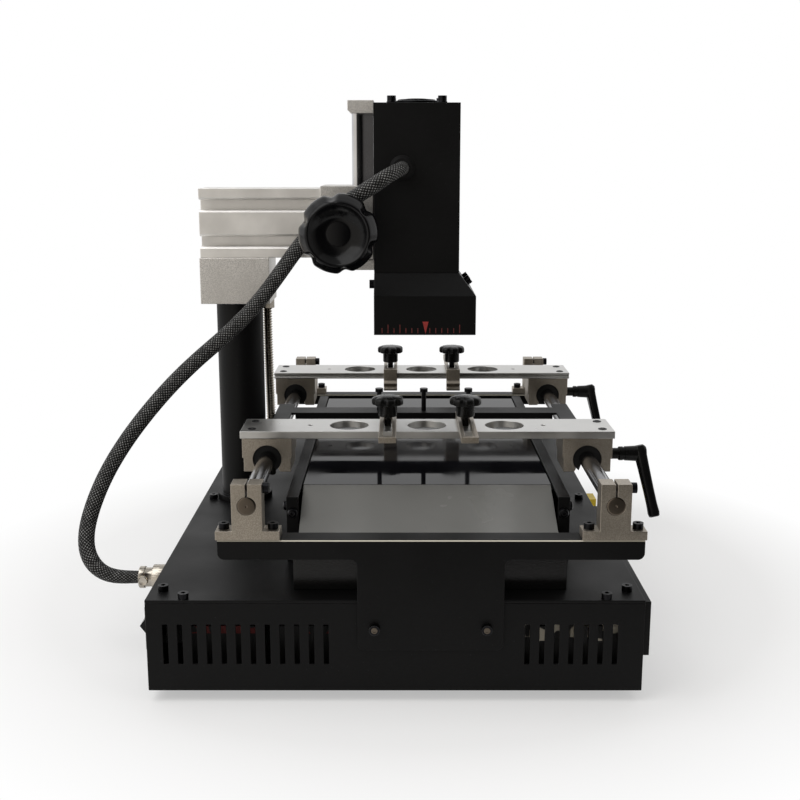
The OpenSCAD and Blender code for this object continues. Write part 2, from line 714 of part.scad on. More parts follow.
module pinion_shaft() color(STEEL) on_base() translate([wheel_x, 0, wheel_z]) {
    along_y() translate([0, 0, -6]) linear_extrude(12) pinion_outline();
    translate([0, wheel_back - 18, 0]) along_y() cylinder(d = shaft_d, h = -wheel_back + 12 + eps);
    translate([0, 6 - eps, 0]) along_y() cylinder(d = shaft_d - 2, h = 12);
}

module rack_outline() {
    z0 = lower_plate_z + lower_plate_t;
    z1 = upper_plate_z;
    half = tooth_p / 4 - backlash / 2;
    slope = tan(pressure) * gear_m;
    low = ceil((z0 - wheel_z) / tooth_p + 0.5);
    high = floor((z1 - wheel_z) / tooth_p - 0.5);
    translate([rack_line + 1.15 * gear_m, z0]) square([rack_back - rack_line - 1.15 * gear_m, z1 - z0]);
    for (k = [low : high - 1]) translate([rack_line, wheel_z + (k + 0.5) * tooth_p])
        polygon([[1.15 * gear_m + eps, half + 1.15 * slope], [-0.9 * gear_m, half - 0.9 * slope],
            [-0.9 * gear_m, -half + 0.9 * slope], [1.15 * gear_m + eps, -half - 1.15 * slope]]);
}

module lift_rack() color(STEEL) on_base() translate([0, rack_w / 2, 0]) rotate([90, 0, 0])
    linear_extrude(rack_w) rack_outline();

module handwheel_profile() polygon([[0, 6], [12, 6], [12, 0], [15, 0], [15, 6], [wheel_d / 2 - 2, 6],
    [wheel_d / 2, 9], [wheel_d / 2, 15], [wheel_d / 2 - 2, 19], [wheel_d / 2 - 5.5, wheel_t - 1.5],
    [wheel_d / 2 - 7, wheel_t], [wheel_d / 2 - 8, wheel_t - 0.8], [13, wheel_t - 8.5], [11.5, wheel_t - 8.5],
    [11.5, wheel_t - 6.6], [10.8, wheel_t - 6], [0, wheel_t - 6]]);

module handwheel() color(BLACK) on_base() translate([wheel_x, wheel_back, wheel_z]) rotate([90, 0, 0]) difference() {
    rotate_extrude() handwheel_profile();
    for (i = [0 : 5]) rotate(40 + i * 60) translate([wheel_d / 2 + 7, 0, -1]) cylinder(r = 9.5, h = wheel_t + 2);
    translate([0, 0, -1]) cylinder(d = shaft_d + 2 * fit, h = 19 + gap);
    translate([0, 0, -1]) cylinder(d = 24, h = 7);
}

module slide_plates() color(SILVER) on_base() {
    translate([head_x - plate_w, -plate_d / 2, lower_plate_z]) cube([plate_w, plate_d, lower_plate_t]);
    translate([head_x, plate_d / 2, upper_plate_z]) rotate([90, 0, 0]) linear_extrude(plate_d)
        polygon([[0, 0], [0, upper_plate_t], [-plate_w, upper_plate_t], [-plate_w, 2.5], [-plate_w + 2.5, 0]]);
}

module slide_rods() color(STEEL) on_base() for (s = [-1, 1])
    translate([lift_rod_x, s * lift_rod_y, lower_plate_z + lower_plate_t])
        cylinder(d = lift_rod_d, h = upper_plate_z - lower_plate_z - lower_plate_t);

// Head
module head_shell() color(BLACK) on_base() difference() {
    translate([head_x, -head_d / 2, head_z0]) cube([head_w, head_d, head_z1 - head_z0]);
    translate([head_x + sheet, -head_d / 2 + sheet, head_z0 - 1])
        cube([head_w - 2 * sheet, head_d - 2 * sheet, head_z1 - head_z0 - sheet + 1]);
    translate([head_cx, 0, head_z1 - sheet - 1]) cylinder(d = fan_w - 4, h = sheet + 2);
    fan_corners() translate([0, 0, head_z1]) screw_hole(sheet + 1);
    translate([grommet_x, -head_d / 2 - 1, grommet_z]) along_y() cylinder(d = 16, h = sheet + 2);
}

module fan_corners() for (x = [-1, 1], y = [-1, 1])
    translate([head_cx + x * fan_pitch / 2, y * fan_pitch / 2, 0]) children();

// The hood with a frustum shoulder over an upright skirt, drawn inset from its outer faces
module hood_shape(inset, over) {
    x0 = head_x + inset;
    hull() {
        translate([x0, -head_d / 2 + inset, head_z0 + over - eps]) cube([head_w - 2 * inset, head_d - 2 * inset, eps]);
        translate([x0, -hood_y + inset, head_z0 - shoulder_h])
            cube([hood_x1 - head_x - 2 * inset, 2 * (hood_y - inset), eps]);
    }
    translate([x0, -hood_y + inset, hood_z - over])
        cube([hood_x1 - head_x - 2 * inset, 2 * (hood_y - inset), skirt_h + over + eps]);
}

module head_hood() color(BLACK) on_base() difference() {
    hood_shape(0, 0);
    hood_shape(sheet, 0.5);
}

module head_screws() color(BLACK) on_base() {
    fan_corners() translate([0, 0, head_z1 + 1.6]) cap_screw(12);
    lean = atan2(shoulder_h, hood_flare - 2);
    for (y = [-14, 14]) translate([(head_x + head_w + hood_x1) / 2, y, head_z0 - shoulder_h / 2])
        rotate([0, lean, 0]) translate([0, 0, 0.02]) cap_screw(0);
    translate([head_x - 0.02, -20, head_z0 - 10]) rotate([0, -90, 0]) cap_screw(0);
}

module upper_heater() color(CREAM) on_base() {
    cx = (head_x + hood_x1) / 2;
    w = hood_x1 - head_x - 2 * sheet;
    d = 2 * (hood_y - sheet);
    translate([cx - w / 2, -d / 2, hood_z + 22]) cube([w, d, 2]);
    translate([cx - 30, -36, hood_z + 10]) cube([60, 72, 12 + eps]);
}

module fan_frame() color(BLACK) on_base() translate([head_cx, 0, head_z1 - sheet - fan_t]) {
    difference() {
        translate([-fan_w / 2, -fan_w / 2, 0]) cube([fan_w, fan_w, fan_t]);
        translate([0, 0, -1]) cylinder(d = fan_w - 4, h = fan_t + 2);
        for (x = [-1, 1], y = [-1, 1]) translate([x * fan_pitch / 2, y * fan_pitch / 2, fan_t]) screw_hole(fan_t + 1);
    }
    cylinder(d = 21, h = 4);
    cylinder(d = 3, h = 11);
    for (a = [30 : 120 : 270]) rotate(a) translate([9, -1.5, 0]) cube([fan_w / 2 - 10, 3, 3]);
}

module fan_rotor() color(BLACK) on_base() translate([head_cx, 0, head_z1 - sheet - fan_t + 4.4]) difference() {
    union() {
        cylinder(d = 20, h = 9.6);
        for (i = [0 : 6]) rotate(i * 360 / 7) translate([9, 0, 4.8]) rotate([38, 0, 0])
            translate([0, -4.6, -0.6]) cube([fan_w / 2 - 12.5, 9.2, 1.2]);
    }
    translate([0, 0, -1]) cylinder(d = 3 + 2 * fit, h = 8.4);
}

module fan_guard() color(STEEL) on_base() translate([head_cx, 0, head_z1 + 0.8]) {
    for (r = [8, 14.5, fan_w / 2 - 4]) rotate_extrude() translate([r, 0]) circle(r = 0.8, $fn = 24);
    for (a = [45 : 90 : 315]) rotate(a) {
        translate([7, 0, 0]) along_x() cylinder(r = 0.8, h = fan_pitch * sqrt(0.5) - 7 - 3, $fn = 24);
        translate([fan_pitch * sqrt(0.5), 0, 0]) rotate_extrude() translate([3.1, 0]) circle(r = 0.8, $fn = 24);
    }
}

module cable_grommet() color(RUBBER) on_base() translate([grommet_x, grommet_y, grommet_z])
    along_y() {
        cylinder(d1 = cable_d + 3, d2 = 20, h = grommet_out);
        translate([0, 0, grommet_out - eps]) cylinder(d = 15.8, h = sheet + 1);
        translate([0, 0, grommet_out + sheet]) cylinder(d = 20, h = 2);
    }

// Clamp bars, blocks and bushes, drawn for the front bar with the board on the +Y side
module bar_plate() difference() {
    translate([-bar_l / 2, -bar_w / 2, bar_z]) cube([bar_l, bar_w, bar_t]);
    for (i = [-1 : 1]) translate([i * bar_hole_pitch, 0, bar_z - 1]) cylinder(d = bar_hole_d, h = bar_t + 2);
    both_sides() {
        translate([knob_x, 0, bar_z - 1]) cylinder(d = stud_d + 2 * fit, h = bar_t + 2);
        translate([knob_x + bar_hole_pitch, 0, bar_z - 1]) cylinder(d = 3.5, h = bar_t + 2);
    }
    translate([-bar_l / 2 - 1, bar_w / 2, bar_z + bar_t / 2]) rotate([90, 0, 90]) linear_extrude(bar_l + 2)
        polygon([[0.1, -1.3], [0.1, 1.3], [-2, 0]]);
}

module block_section() difference() {
    union() {
        translate([-block_w / 2, 1]) square([block_w, block_rise - 1]);
        translate([-block_w / 2 + 1, -9.5]) square([block_w - 2, 10.5 + eps]);
    }
    circle(d = liner_d + 2 * fit);
    polygon([[-4.5, 0], [4.5, 0], [9.5, -10], [-9.5, -10]]);
    translate([-7, block_rise - 0.8]) square([14, 1]);
}

module bar_blocks() difference() {
    for (s = [-1, 1]) translate([s * rod_x, block_l / 2, rod_z]) rotate([90, 0, 0])
        linear_extrude(block_l) block_section();
    translate([rod_x + block_w / 2 - 6, 0, rod_z]) along_x() cylinder(d = lever_stud_d + 2 * fit, h = 7);
}

module bar_bushes() for (s = [-1, 1]) translate([s * rod_x, block_l / 2 - 1, rod_z]) rotate([90, 0, 0])
    linear_extrude(block_l - 2) difference() {
        circle(d = liner_d);
        circle(d = rod_d + 2 * fit);
        polygon([[-3, 0], [3, 0], [7, -12], [-7, -12]]);
    }

module front_clamp_bar() color(SILVER) at_table() translate([0, front_bar_y, 0]) bar_plate();
module front_bar_blocks() color(SILVER) at_table() translate([0, front_bar_y, 0]) bar_blocks();
module front_bar_bushes() color(RUBBER) at_table() translate([0, front_bar_y, 0]) bar_bushes();
module rear_clamp_bar() color(SILVER) at_table() translate([0, rear_bar_y, 0]) mirror([0, 1, 0]) bar_plate();
module rear_bar_blocks() color(SILVER) at_table() translate([0, rear_bar_y, 0]) bar_blocks();
module rear_bar_bushes() color(RUBBER) at_table() translate([0, rear_bar_y, 0]) bar_bushes();

module lever_outline() {
    circle(d = 12);
    translate([0, -lever_l]) circle(d = 8);
    polygon([[-6, 0], [6, 0], [4, -lever_l], [-4, -lever_l]]);
}

module clamp_lever(y) on_base() translate([block_out, y, rod_z]) {
    translate([-5.7, 0, 0]) along_x() cylinder(d = lever_stud_d, h = lever_stud + 6);
    translate([gap, 0, 0]) along_x() cylinder(d = lever_collar_d, h = lever_stud);
    translate([lever_stud, 0, 0]) along_x() cylinder(d1 = 10, d2 = 12.5, h = lever_hub);
    rotate([-lever_lean, 0, 0]) translate([lever_stud + lever_hub - lever_arm_t, 0, 0]) rotate([0, -lever_flare, 0])
        rotate([90, 0, 90]) linear_extrude(lever_arm_t) lever_outline();
}

module front_clamp_lever() color(BLACK) clamp_lever(front_bar_y);
module rear_clamp_lever() color(BLACK) clamp_lever(rear_bar_y);

// A slotted finger with a hooked jaw, drawn for the front bar with the board on the +Y side
module finger() {
    inner = bar_w / 2 + finger_gap + leg_t;
    outer = -bar_w / 2 - finger_tail;
    translate([0, 0, bar_top]) linear_extrude(finger_t) difference() {
        translate([-finger_w / 2, outer]) square([finger_w, inner - outer]);
        translate([-stud_d / 2 - 0.75, outer + 5]) square([stud_d + 1.5, bar_w / 2 - 8 - outer]);
    }
    translate([-finger_w / 2, inner - leg_t, bar_top - leg_drop]) cube([finger_w, leg_t, leg_drop + eps]);
    translate([-finger_w / 2, inner, bar_top - leg_drop]) rotate([90, 0, 90]) linear_extrude(finger_w)
        polygon([[-eps, 0], [3, 0], [3, 2], [1, 4], [3, 6], [3, 7], [-eps, 9]]);
}

module front_left_finger() color(DARK) at_table() translate([-knob_x, front_bar_y, 0]) finger();
module front_right_finger() color(DARK) at_table() translate([knob_x, front_bar_y, 0]) finger();
module rear_left_finger() color(DARK) at_table() translate([-knob_x, rear_bar_y, 0]) mirror([0, 1, 0]) finger();
module rear_right_finger() color(DARK) at_table() translate([knob_x, rear_bar_y, 0]) mirror([0, 1, 0]) finger();

module star_outline() difference() {
    circle(d = knob_d);
    for (i = [0 : 6]) rotate(i * 360 / 7) translate([knob_d / 2 + 1.6, 0]) circle(r = 3.6);
}

module star_knob() translate([0, 0, bar_top + finger_t + 2.5]) {
    translate([0, 0, -finger_t - 2.5 - bar_t]) cylinder(d = stud_d, h = bar_t + finger_t + 2.5 + eps);
    cylinder(d = 14, h = knob_stem + eps);
    translate([0, 0, knob_stem]) intersection() {
        linear_extrude(knob_head) star_outline();
        translate([0, 0, knob_head - 2 * knob_d]) sphere(r = 2 * knob_d, $fn = 96);
    }
}

module front_left_knob() color(BLACK) at_table() translate([-knob_x, front_bar_y, 0]) star_knob();
module front_right_knob() color(BLACK) at_table() translate([knob_x, front_bar_y, 0]) star_knob();
module rear_left_knob() color(BLACK) at_table() translate([-knob_x, rear_bar_y, 0]) star_knob();
module rear_right_knob() color(BLACK) at_table() translate([knob_x, rear_bar_y, 0]) star_knob();

// Support beam and pins
module support_beam() color(BLACK) at_table() difference() {
    union() {
        translate([-rod_x - tab_w / 2, strip_y, strip_z]) cube([rod_pitch + tab_w, strip_d, strip_t]);
        for (s = [-1, 1]) translate([s * rod_x - tab_w / 2, tab_y0, strip_z]) cube([tab_w, tab_y1 - tab_y0, strip_t]);
        translate([-rod_x + 10, strip_y, strip_top - strip_flange]) cube([rod_pitch - 20, strip_t, strip_flange]);
    }
    for (x = pin_places) translate([x - table_x, pin_y, strip_z - 1]) cylinder(d = pin_d + 2 * fit, h = strip_t + 2);
}

module support_pin(i) on_base() translate([pin_places[i], pin_y, strip_top]) {
    translate([0, 0, -8]) cylinder(d = pin_d, h = pin_rise + 5 + eps);
    translate([0, 0, pin_rise - 3]) cylinder(d = pin_d + 2.7, h = 3);
}

module left_support_pin() color(BLACK) support_pin(0);
module middle_support_pin() color(BLACK) support_pin(1);
module right_support_pin() color(BLACK) support_pin(2);

module heater_cable() color(RUBBER) on_base() swept_tube(cable_route, cable_d, 3, 12);

base_chassis();
top_cover();
rubber_feet();
cap_screws();
power_entry();
power_rocker();
heater_socket();
control_panel();
temperature_controllers();
start_button();
thermocouple_socket();
power_electronics();
heater_rails();
heater_aprons();
heater_glass();
bottom_heater();
front_bracket();
rear_bracket();
shaft_supports();
guide_rods();
column();
arm_block();
arm_profile();
slide_housing();
sensor_gooseneck();
handwheel();
pinion_shaft();
slide_plates();
slide_rods();
lift_rack();
head_shell();
head_hood();
head_screws();
upper_heater();
fan_frame();
fan_rotor();
fan_guard();
cable_grommet();
front_clamp_bar();
front_bar_blocks();
front_bar_bushes();
rear_clamp_bar();
rear_bar_blocks();
rear_bar_bushes();
front_clamp_lever();
rear_clamp_lever();
front_left_finger();
front_right_finger();
rear_left_finger();
rear_right_finger();
front_left_knob();
front_right_knob();
rear_left_knob();
rear_right_knob();
support_beam();
left_support_pin();
middle_support_pin();
right_support_pin();
heater_cable();
heater_plug();
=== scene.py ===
"""Dresses the solids of a circuit-board rework station with finishes, fine shapes, light and a camera."""

import json
import math

import bmesh
import bpy
from bpy.props import FloatProperty, FloatVectorProperty, IntProperty, PointerProperty
from bpy.types import NodeSocket, Operator, Panel, PropertyGroup
from mathutils import Matrix, Vector

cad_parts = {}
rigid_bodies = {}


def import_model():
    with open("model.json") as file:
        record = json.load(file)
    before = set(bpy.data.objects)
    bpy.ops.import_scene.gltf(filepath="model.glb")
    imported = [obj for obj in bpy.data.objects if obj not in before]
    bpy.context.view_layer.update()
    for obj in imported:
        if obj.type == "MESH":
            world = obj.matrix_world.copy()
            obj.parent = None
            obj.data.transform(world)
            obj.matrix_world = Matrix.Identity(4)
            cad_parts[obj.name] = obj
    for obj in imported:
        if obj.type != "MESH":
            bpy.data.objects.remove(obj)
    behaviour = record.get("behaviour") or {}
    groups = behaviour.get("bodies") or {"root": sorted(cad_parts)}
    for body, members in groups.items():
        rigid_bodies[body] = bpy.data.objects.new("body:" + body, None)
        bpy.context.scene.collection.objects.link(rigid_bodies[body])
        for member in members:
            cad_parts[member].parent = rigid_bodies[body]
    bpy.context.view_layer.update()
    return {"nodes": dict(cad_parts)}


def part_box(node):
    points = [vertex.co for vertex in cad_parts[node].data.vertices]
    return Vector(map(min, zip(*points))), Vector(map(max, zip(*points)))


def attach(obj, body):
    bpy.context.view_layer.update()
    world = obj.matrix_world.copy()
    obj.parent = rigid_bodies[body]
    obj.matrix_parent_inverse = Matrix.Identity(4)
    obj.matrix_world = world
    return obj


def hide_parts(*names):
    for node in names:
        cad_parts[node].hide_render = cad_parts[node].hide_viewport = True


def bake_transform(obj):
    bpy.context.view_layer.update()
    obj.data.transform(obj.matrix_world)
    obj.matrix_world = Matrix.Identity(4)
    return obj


bl_info = {
    "name": "Rework station dresser",
    "version": (1, 0, 0),
    "blender": (4, 5, 0),
    "location": "View3D > Sidebar > Station",
    "description": "Finishes, fine shapes, light and a camera for a circuit-board rework station",
    "category": "Object",
}

for leftover in list(bpy.data.objects):
    bpy.data.objects.remove(leftover)
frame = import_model()
MM = 0.001
BASE_X = sum(corner.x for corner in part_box("base_chassis")) / 2

# Routes, in millimetres from the middle of the base, on the bench
CABLE_ROUTE = (
    (-187, -154, 56.5), (-194, -154, 56.5), (-201, -154, 56.5), (-212, -152.5, 57.5), (-221.5, -149.5, 63),
    (-228, -145, 72.5), (-230, -136.5, 86), (-226, -127, 104), (-218, -115, 125), (-205, -101, 147),
    (-189, -88, 168), (-171.5, -76, 187.5), (-152, -66, 205.5), (-131.5, -58, 222), (-114.5, -52, 238.5),
    (-100.5, -48, 255.5), (-88, -46, 272.5), (-76.5, -46, 288.5), (-64, -47.5, 303), (-51, -53, 315.5),
    (-36.5, -60.5, 324), (-25, -68, 331.3), (-14.3, -68.8, 338), (-4.5, -63.5, 344.5), (3, -53, 348),
    (5, -44, 349), (5, -39.5, 349), (5, -35, 349),
)
GOOSENECK_ROUTE = ((-109, 16, 233), (-109, 16, 201), (-108.5, 17, 166), (-108, 17, 136), (-108, 16, 108))
# Steps of a route from point to point, of a round corner and round a screw
ROUTE_STEPS = 24
CORNER_STEPS = 5
SCREW_SIDES = 30

# Profiles of turned pieces, in millimetres: radius, height and, where it is dented, share of the dent
WHEEL_PROFILE = (
    (5.05, 6), (12, 6), (12, 0.2), (12.3, 0), (14.7, 0), (15, 0.3), (15, 5.5), (15.6, 6), (26.5, 6, 0.9),
    (28.6, 6.6, 1), (29.7, 8, 1), (30, 9.5, 1), (30, 12, 1), (30, 14.5, 1), (29.6, 16.4, 1),
    (28.6, 18.4, 0.95), (27, 21, 0.75), (25.6, 23.2, 0.45), (24.6, 24.9, 0.2), (23.7, 25.8, 0.05), (23, 26),
    (22.3, 25.7), (21.6, 25), (20, 23.4), (17, 20.8), (14, 19.1), (11.5, 18.1), (10, 17.8), (9.3, 17.8),
    (9.1, 18.1), (8.9, 18.4), (8.4, 18.5), (0, 18.5),
)
KNOB_PROFILE = (
    (0, 0), (2.5, 0), (2.5, 12.5), (5.8, 12.5), (6.6, 12.7), (7, 13.3), (7, 20.6), (7.4, 21.3),
    (10.8, 21.6, 0.8), (11.6, 22, 1), (12, 22.8, 1), (12, 25.2, 1), (11.8, 26, 1), (11.2, 26.7, 0.9),
    (10.2, 27.2, 0.7), (8, 27.7, 0.3), (5, 27.95, 0.1), (0, 28),
)
PLUG_PROFILE = (
    (7.9, 2.7), (9, 2.7), (9.3, 3.1, 1), (9.3, 11.4, 1), (8.9, 12), (7.6, 12), (7, 12.4), (7, 17.2),
    (7.3, 17.8), (7.9, 18), (8, 18.3), (8, 21.6), (7.7, 22), (6.2, 22), (6.2, 19), (0, 19),
)
LEVER_HUB_PROFILE = (
    (0, -5.7), (3, -5.7), (3, 0.3), (4.2, 0.3), (4.2, 8), (5, 8), (5.3, 8.4), (5.3, 11), (4.9, 11.3),
    (4.9, 12.2), (5.4, 12.5), (6.2, 26.5), (6.1, 27.7), (5.4, 28.5), (3.6, 28.5), (3.4, 28), (0, 27.9),
)
SCREW_PROFILE = (
    (0, -2.4), (1.5, -2.4), (3.3, 0), (3.2, 0.3), (2.6, 0.5), (1.9, 0.5, 1), (1.8, -1.2, 1), (0, -1.4),
)
BUTTON_SCREW_PROFILE = (
    (0, 0), (3.6, 0), (3.7, 0.3), (3.5, 1.6), (3, 2.6), (2, 3.1), (1.7, 3.1, 1), (1.6, 1.6, 1), (0, 1.4),
)
EAR_SCREW_PROFILE = ((0, 0), (3.6, 0), (3.7, 0.3), (3.5, 1.6), (3, 2.6), (0, 1.9))
SOCKET_PROFILE = ((2.1, -0.3), (2.1, 0.1), (1.9, 0.15), (1.6, 0.15, 1), (1.5, -1.4, 1), (0, -1.5))
NECK_FITTING_PROFILE = ((0, -0.2), (5.6, -0.2, 1), (6, 0.2, 1), (6, 7.6, 1), (5.6, 8, 1), (0, 8))
NECK_TIP_PROFILE = ((0, 0), (1.2, 0.2), (2.4, 0.8), (3, 2), (3, 20), (3.6, 20.4), (3.6, 22.3), (0, 22.4))
OFF_MARK_PROFILE = ((1.2, 0), (1.9, 0), (1.9, 0.08), (1.2, 0.08), (1.2, 0))

# Cable: the spacing of its rings, in millimetres
CABLE_STEP = 0.7
# Shares of the sleeve's radius at its ends, and of its relief on the flank of a thread
PLUG_SQUEEZE = 0.74
HEAD_SQUEEZE = 0.84
THREAD_FLANK = 0.2
# Plug, in millimetres, with the depth of its knurls as a share of the radius
PLUG_SEAT = 2.7
KNURLS = 40
KNURL_DEPTH = 0.03
EAR_SIZE = (3.4, 9, 3.4)
EAR_REACH = 5.2
EAR_RISE = 18.2
EAR_SCREW_RISE = 1.6

# Grips: half angle and first angle of the scallops, then lean and flare of a lever
WHEEL_DENT_HALF = math.radians(13)
WHEEL_DENT_START = math.radians(40)
KNOB_DENT_HALF = math.radians(14.5)
LEVER_LEAN = math.radians(-20)
LEVER_FLARE = math.radians(-11)
# Lever in millimetres, its rounding as a share, its sections as level, half width and half thickness
LEVER_STUD = 5.7
LEVER_ROOT = 20.5
LEVER_OFFSET = 4
LEVER_ROUNDING = 0.55
LEVER_SECTIONS = (
    (5.6, 2.6, 3.0), (4.6, 4.6, 3.7), (0, 6.2, 4), (-12, 5.2, 3.8), (-30, 4.4, 3.6), (-40, 4.4, 3.6),
    (-46.5, 4.8, 3.9), (-49, 4.4, 3.5), (-49.7, 3.4, 2.6),
)

# Gooseneck, scale with ticks counted from its middle, screws and grille, in millimetres
NECK_R = 3.5
NECK_RIB = 0.5
NECK_TIP_L = 22
SCALE_SHIFT = 0.5
TICKS = (-7, -6, -5, -4, -3, -2, -1, 1, 2, 3, 4, 5, 6)
LONG_TICKS = (-6, -4, 6)
LONG_TICK = 6.8
SHORT_TICK = 4
TICK_PITCH = 4.75
TICK_SHIFT = 1.3
TICK_FOOT = 1.6
TICK_W = 0.7
INK = 0.06
POINTER_FOOT = 1.2
POINTER_HALF = 2.4
POINTER_H = 9.6
BAR_SCREW_X = 130.5
BAR_SCREW_Y = 12.5
RAIL_SCREW_X = 97
RAIL_SCREW_DROP = 11.5
RAIL_SIDE_INSET = 9
TONGUE_SCREW_X = 37
TONGUE_SCREW_DROP = 18.5
GRILLE_RINGS = ((21, 0.5), (14.5, 1.9), (8, 2.5))
GRILLE_SPOKE = ((25.3, 0), (23.5, 0.1), *GRILLE_RINGS)
GRILLE_EYE = 28.28
GRILLE_EYE_R = 3.1
WIRE_R = 0.8
WIRE_SIDES = 12

# Controllers, inlet and rocker, in millimetres, and the way the rocker's halves face
CONTROLLER_HALF = 24.5
WINDOW_AT = (0, 4, -1.02)
WINDOW_SIZE = (41.6, 11.6, 0.5)
KEYS_AT = tuple((x, -7.6, -0.1) for x in (-15.75, -5.25, 5.25, 15.75))
KEY_SIZE = (7.4, 4.2, 0.9)
READINGS = (("digit_red", -16, "025"), ("digit_green", 5, "200"))
FIGURE_PITCH = 5.6
FIGURE_Y = 4
FIGURE_Z = -0.56
UPRIGHT_STROKE = (0.7, 2.9, 0.12)
LEVEL_STROKE = (2.5, 0.7, 0.12)
PINS_AT = ((-1.5, -2), (12.5, -2), (5.5, 2.2))
PIN_SIZE = (2, 4, 13)
PIN_INSET = 17.1
MARK_INSET = 2.1
MARK_RISE = 2.85
ON_MARK = (0.8, 3.6, 0.08)
ROCKER_OUT = 0.805
ROCKER_UP = 0.593
# Figures in seven strokes: middle of each stroke and whether it stands upright
STROKES = {
    "a": (0, 3.6, False), "b": (1.8, 1.8, True), "c": (1.8, -1.8, True), "d": (0, -3.6, False),
    "e": (-1.8, -1.8, True), "f": (-1.8, 1.8, True), "g": (0, 0, False),
}
FIGURES = {"0": "abcdef", "2": "abged", "5": "afgcd"}

# Stage, in metres: lamps as place and width, then spans of direction and levels of what mirrors see
LAMP_TARGET = Vector((0, 0, 0.12))
KEY_LAMP = (Vector((-0.9, -0.5, 1.5)), 1.5)
TOP_LAMP = (Vector((0, 0.35, 1.7)), 2.6)
FLOOR_REACH = 3
FLOOR_FRONT = -0.45
SHADOW_REACH = (0.2, 0.42)
ROOM_SPAN = (-0.3, 0.08)
ROOM_LEVELS = (0.9, 0.02)
BACKDROP_SPAN = (-0.5, 0.1)
BACKDROP_LEVEL = 0.92
OVERHEAD_SPAN = (0.4, 0.9)
OVERHEAD_LEVEL = 0.35

# Finishes: spans of noise and of likeness to flat ground, ways of the grain, then roughness and gloss
CLOUD_SPAN = (0.3, 0.7)
SPECK_SPAN = (0.77, 0.8)
PIT_SPAN = (0.38, 0.62)
PATCH_SPAN = (0.47, 0.52)
EDGE_SPAN = (0.98, 0.8)
EVEN = (1, 1, 1)
ALONG_X = (0.02, 1, 1)
ALONG_Y = (1, 0.05, 1)
COAT_ROUGH = (0.38, 0.5)
COAT_GLOSS = 0.15
COAT_CLOUDS = 0.25
APRON_ROUGH = (0.24, 0.28)
APRON_GLOSS = 0.4
APRON_CLOUDS = 0.05
SPECKLE = 0.24
SOIL = 0.12
# Heights in millimetres: apron's fold over the cover, painted highlight along the bend under a bracket's top,
# coloured innards, blur
APRON_FOLD = 25.6
BEND_DROP = (1.1, 0.4)
INNARDS_TOPS = (41, 100)
LEVEL_BLUR = 0.2
# Metals: finish, colour, grain and relief in millimetres, roughness, way the grain runs
METALS = (
    ("silver_drawn", "arm", 0.4, 0.02, (0.34, 0.46), ALONG_X),
    ("silver_brushed", "bar", 0.4, 0.03, (0.26, 0.4), ALONG_X),
    ("steel_ground", "steel", 0.4, 0.008, (0.1, 0.2), ALONG_Y),
    ("rod_dark", "rod", 0.4, 0.008, (0.12, 0.22), ALONG_Y),
    ("rod_end", "rod_end", 0.5, 0.02, (0.25, 0.4), EVEN),
    ("nickel", "nickel", 0.4, 0.01, (0.14, 0.26), EVEN),
)
# Plastics: finish, colour, grain and relief in millimetres, roughness, gloss
PLASTICS = (
    ("plastic_matte", "plastic", 0.5, 0.03, (0.22, 0.3), 0.2),
    ("plastic_gloss", "gloss", 1, 0.01, (0.13, 0.2), 0.2),
    ("rubber_black", "rubber", 0.7, 0.05, (0.5, 0.7), 0.2),
    ("ceramic_pale", "ceramic", 0.8, 0.06, (0.6, 0.8), 0.5),
    ("socket_yellow", "yellow", 0.5, 0.03, (0.35, 0.5), 0.5),
    ("button_red", "red", 0.5, 0.03, (0.18, 0.3), 0.5),
    ("scale_red", "scale", 0.5, 0.03, (0.5, 0.65), 0.5),
    ("tick_red", "tick", 0.5, 0.03, (0.5, 0.65), 0.5),
    ("digit_red", "digit_red", 0.5, 0.03, (0.3, 0.4), 0.5),
    ("digit_green", "digit_green", 0.5, 0.03, (0.3, 0.4), 0.5),
    ("mark_white", "mark", 0.5, 0.03, (0.5, 0.6), 0.5),
)

# Solids whose shape is kept, by finish, with edges rounded here or left as they are
ROUNDED_SOLIDS = {
    "coat_black": ("base_chassis", "top_cover", "control_panel", "heater_rails", "column", "head_shell",
                   "head_hood", "support_beam"),
    "coat_bracket": ("front_bracket", "rear_bracket"),
    "apron_coat_painted_reflection": ("heater_aprons",),
    "silver_blasted": ("arm_block", "slide_housing", "slide_plates"),
    "silver_drawn": ("arm_profile",),
    "silver_cast": ("shaft_supports", "front_bar_blocks", "rear_bar_blocks", "front_left_finger",
                    "front_right_finger", "rear_left_finger", "rear_right_finger"),
    "silver_brushed": ("front_clamp_bar", "rear_clamp_bar"),
}
PLAIN_SOLIDS = {
    "rod_dark": ("guide_rods", "lift_rack"),
    "steel_ground": ("slide_rods", "pinion_shaft", "upper_heater"),
    "nickel": ("heater_socket",),
    "screw_black": ("cap_screws", "head_screws", "left_support_pin", "middle_support_pin",
                    "right_support_pin"),
    "plastic_matte": ("power_entry", "temperature_controllers", "fan_frame", "fan_rotor"),
    "plastic_gloss": ("power_rocker",),
    "rubber_black": ("rubber_feet", "cable_grommet", "front_bar_bushes", "rear_bar_bushes"),
    "button_red": ("start_button",),
    "socket_yellow": ("thermocouple_socket",),
    "innards_dark": ("power_electronics",),
    "heater_glass": ("heater_glass",),
    "ceramic_pale": ("bottom_heater",),
}


def mm(x, y, z):
    """A vector from millimetres."""
    return Vector((x * MM, y * MM, z * MM))


def at(x, y, z):
    """A point of the shared frame, from millimetres off the middle of the base."""
    return Vector((BASE_X + x * MM, y * MM, z * MM))


def shift(x, y, z):
    """A move by millimetres."""
    return Matrix.Translation(mm(x, y, z))


def in_box(name, *amounts):
    """A point of a solid's box, at an amount from nothing to one along each of its three sides."""
    low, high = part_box(name)
    return Vector([a + (b - a) * amount for a, b, amount in zip(low, high, amounts)])


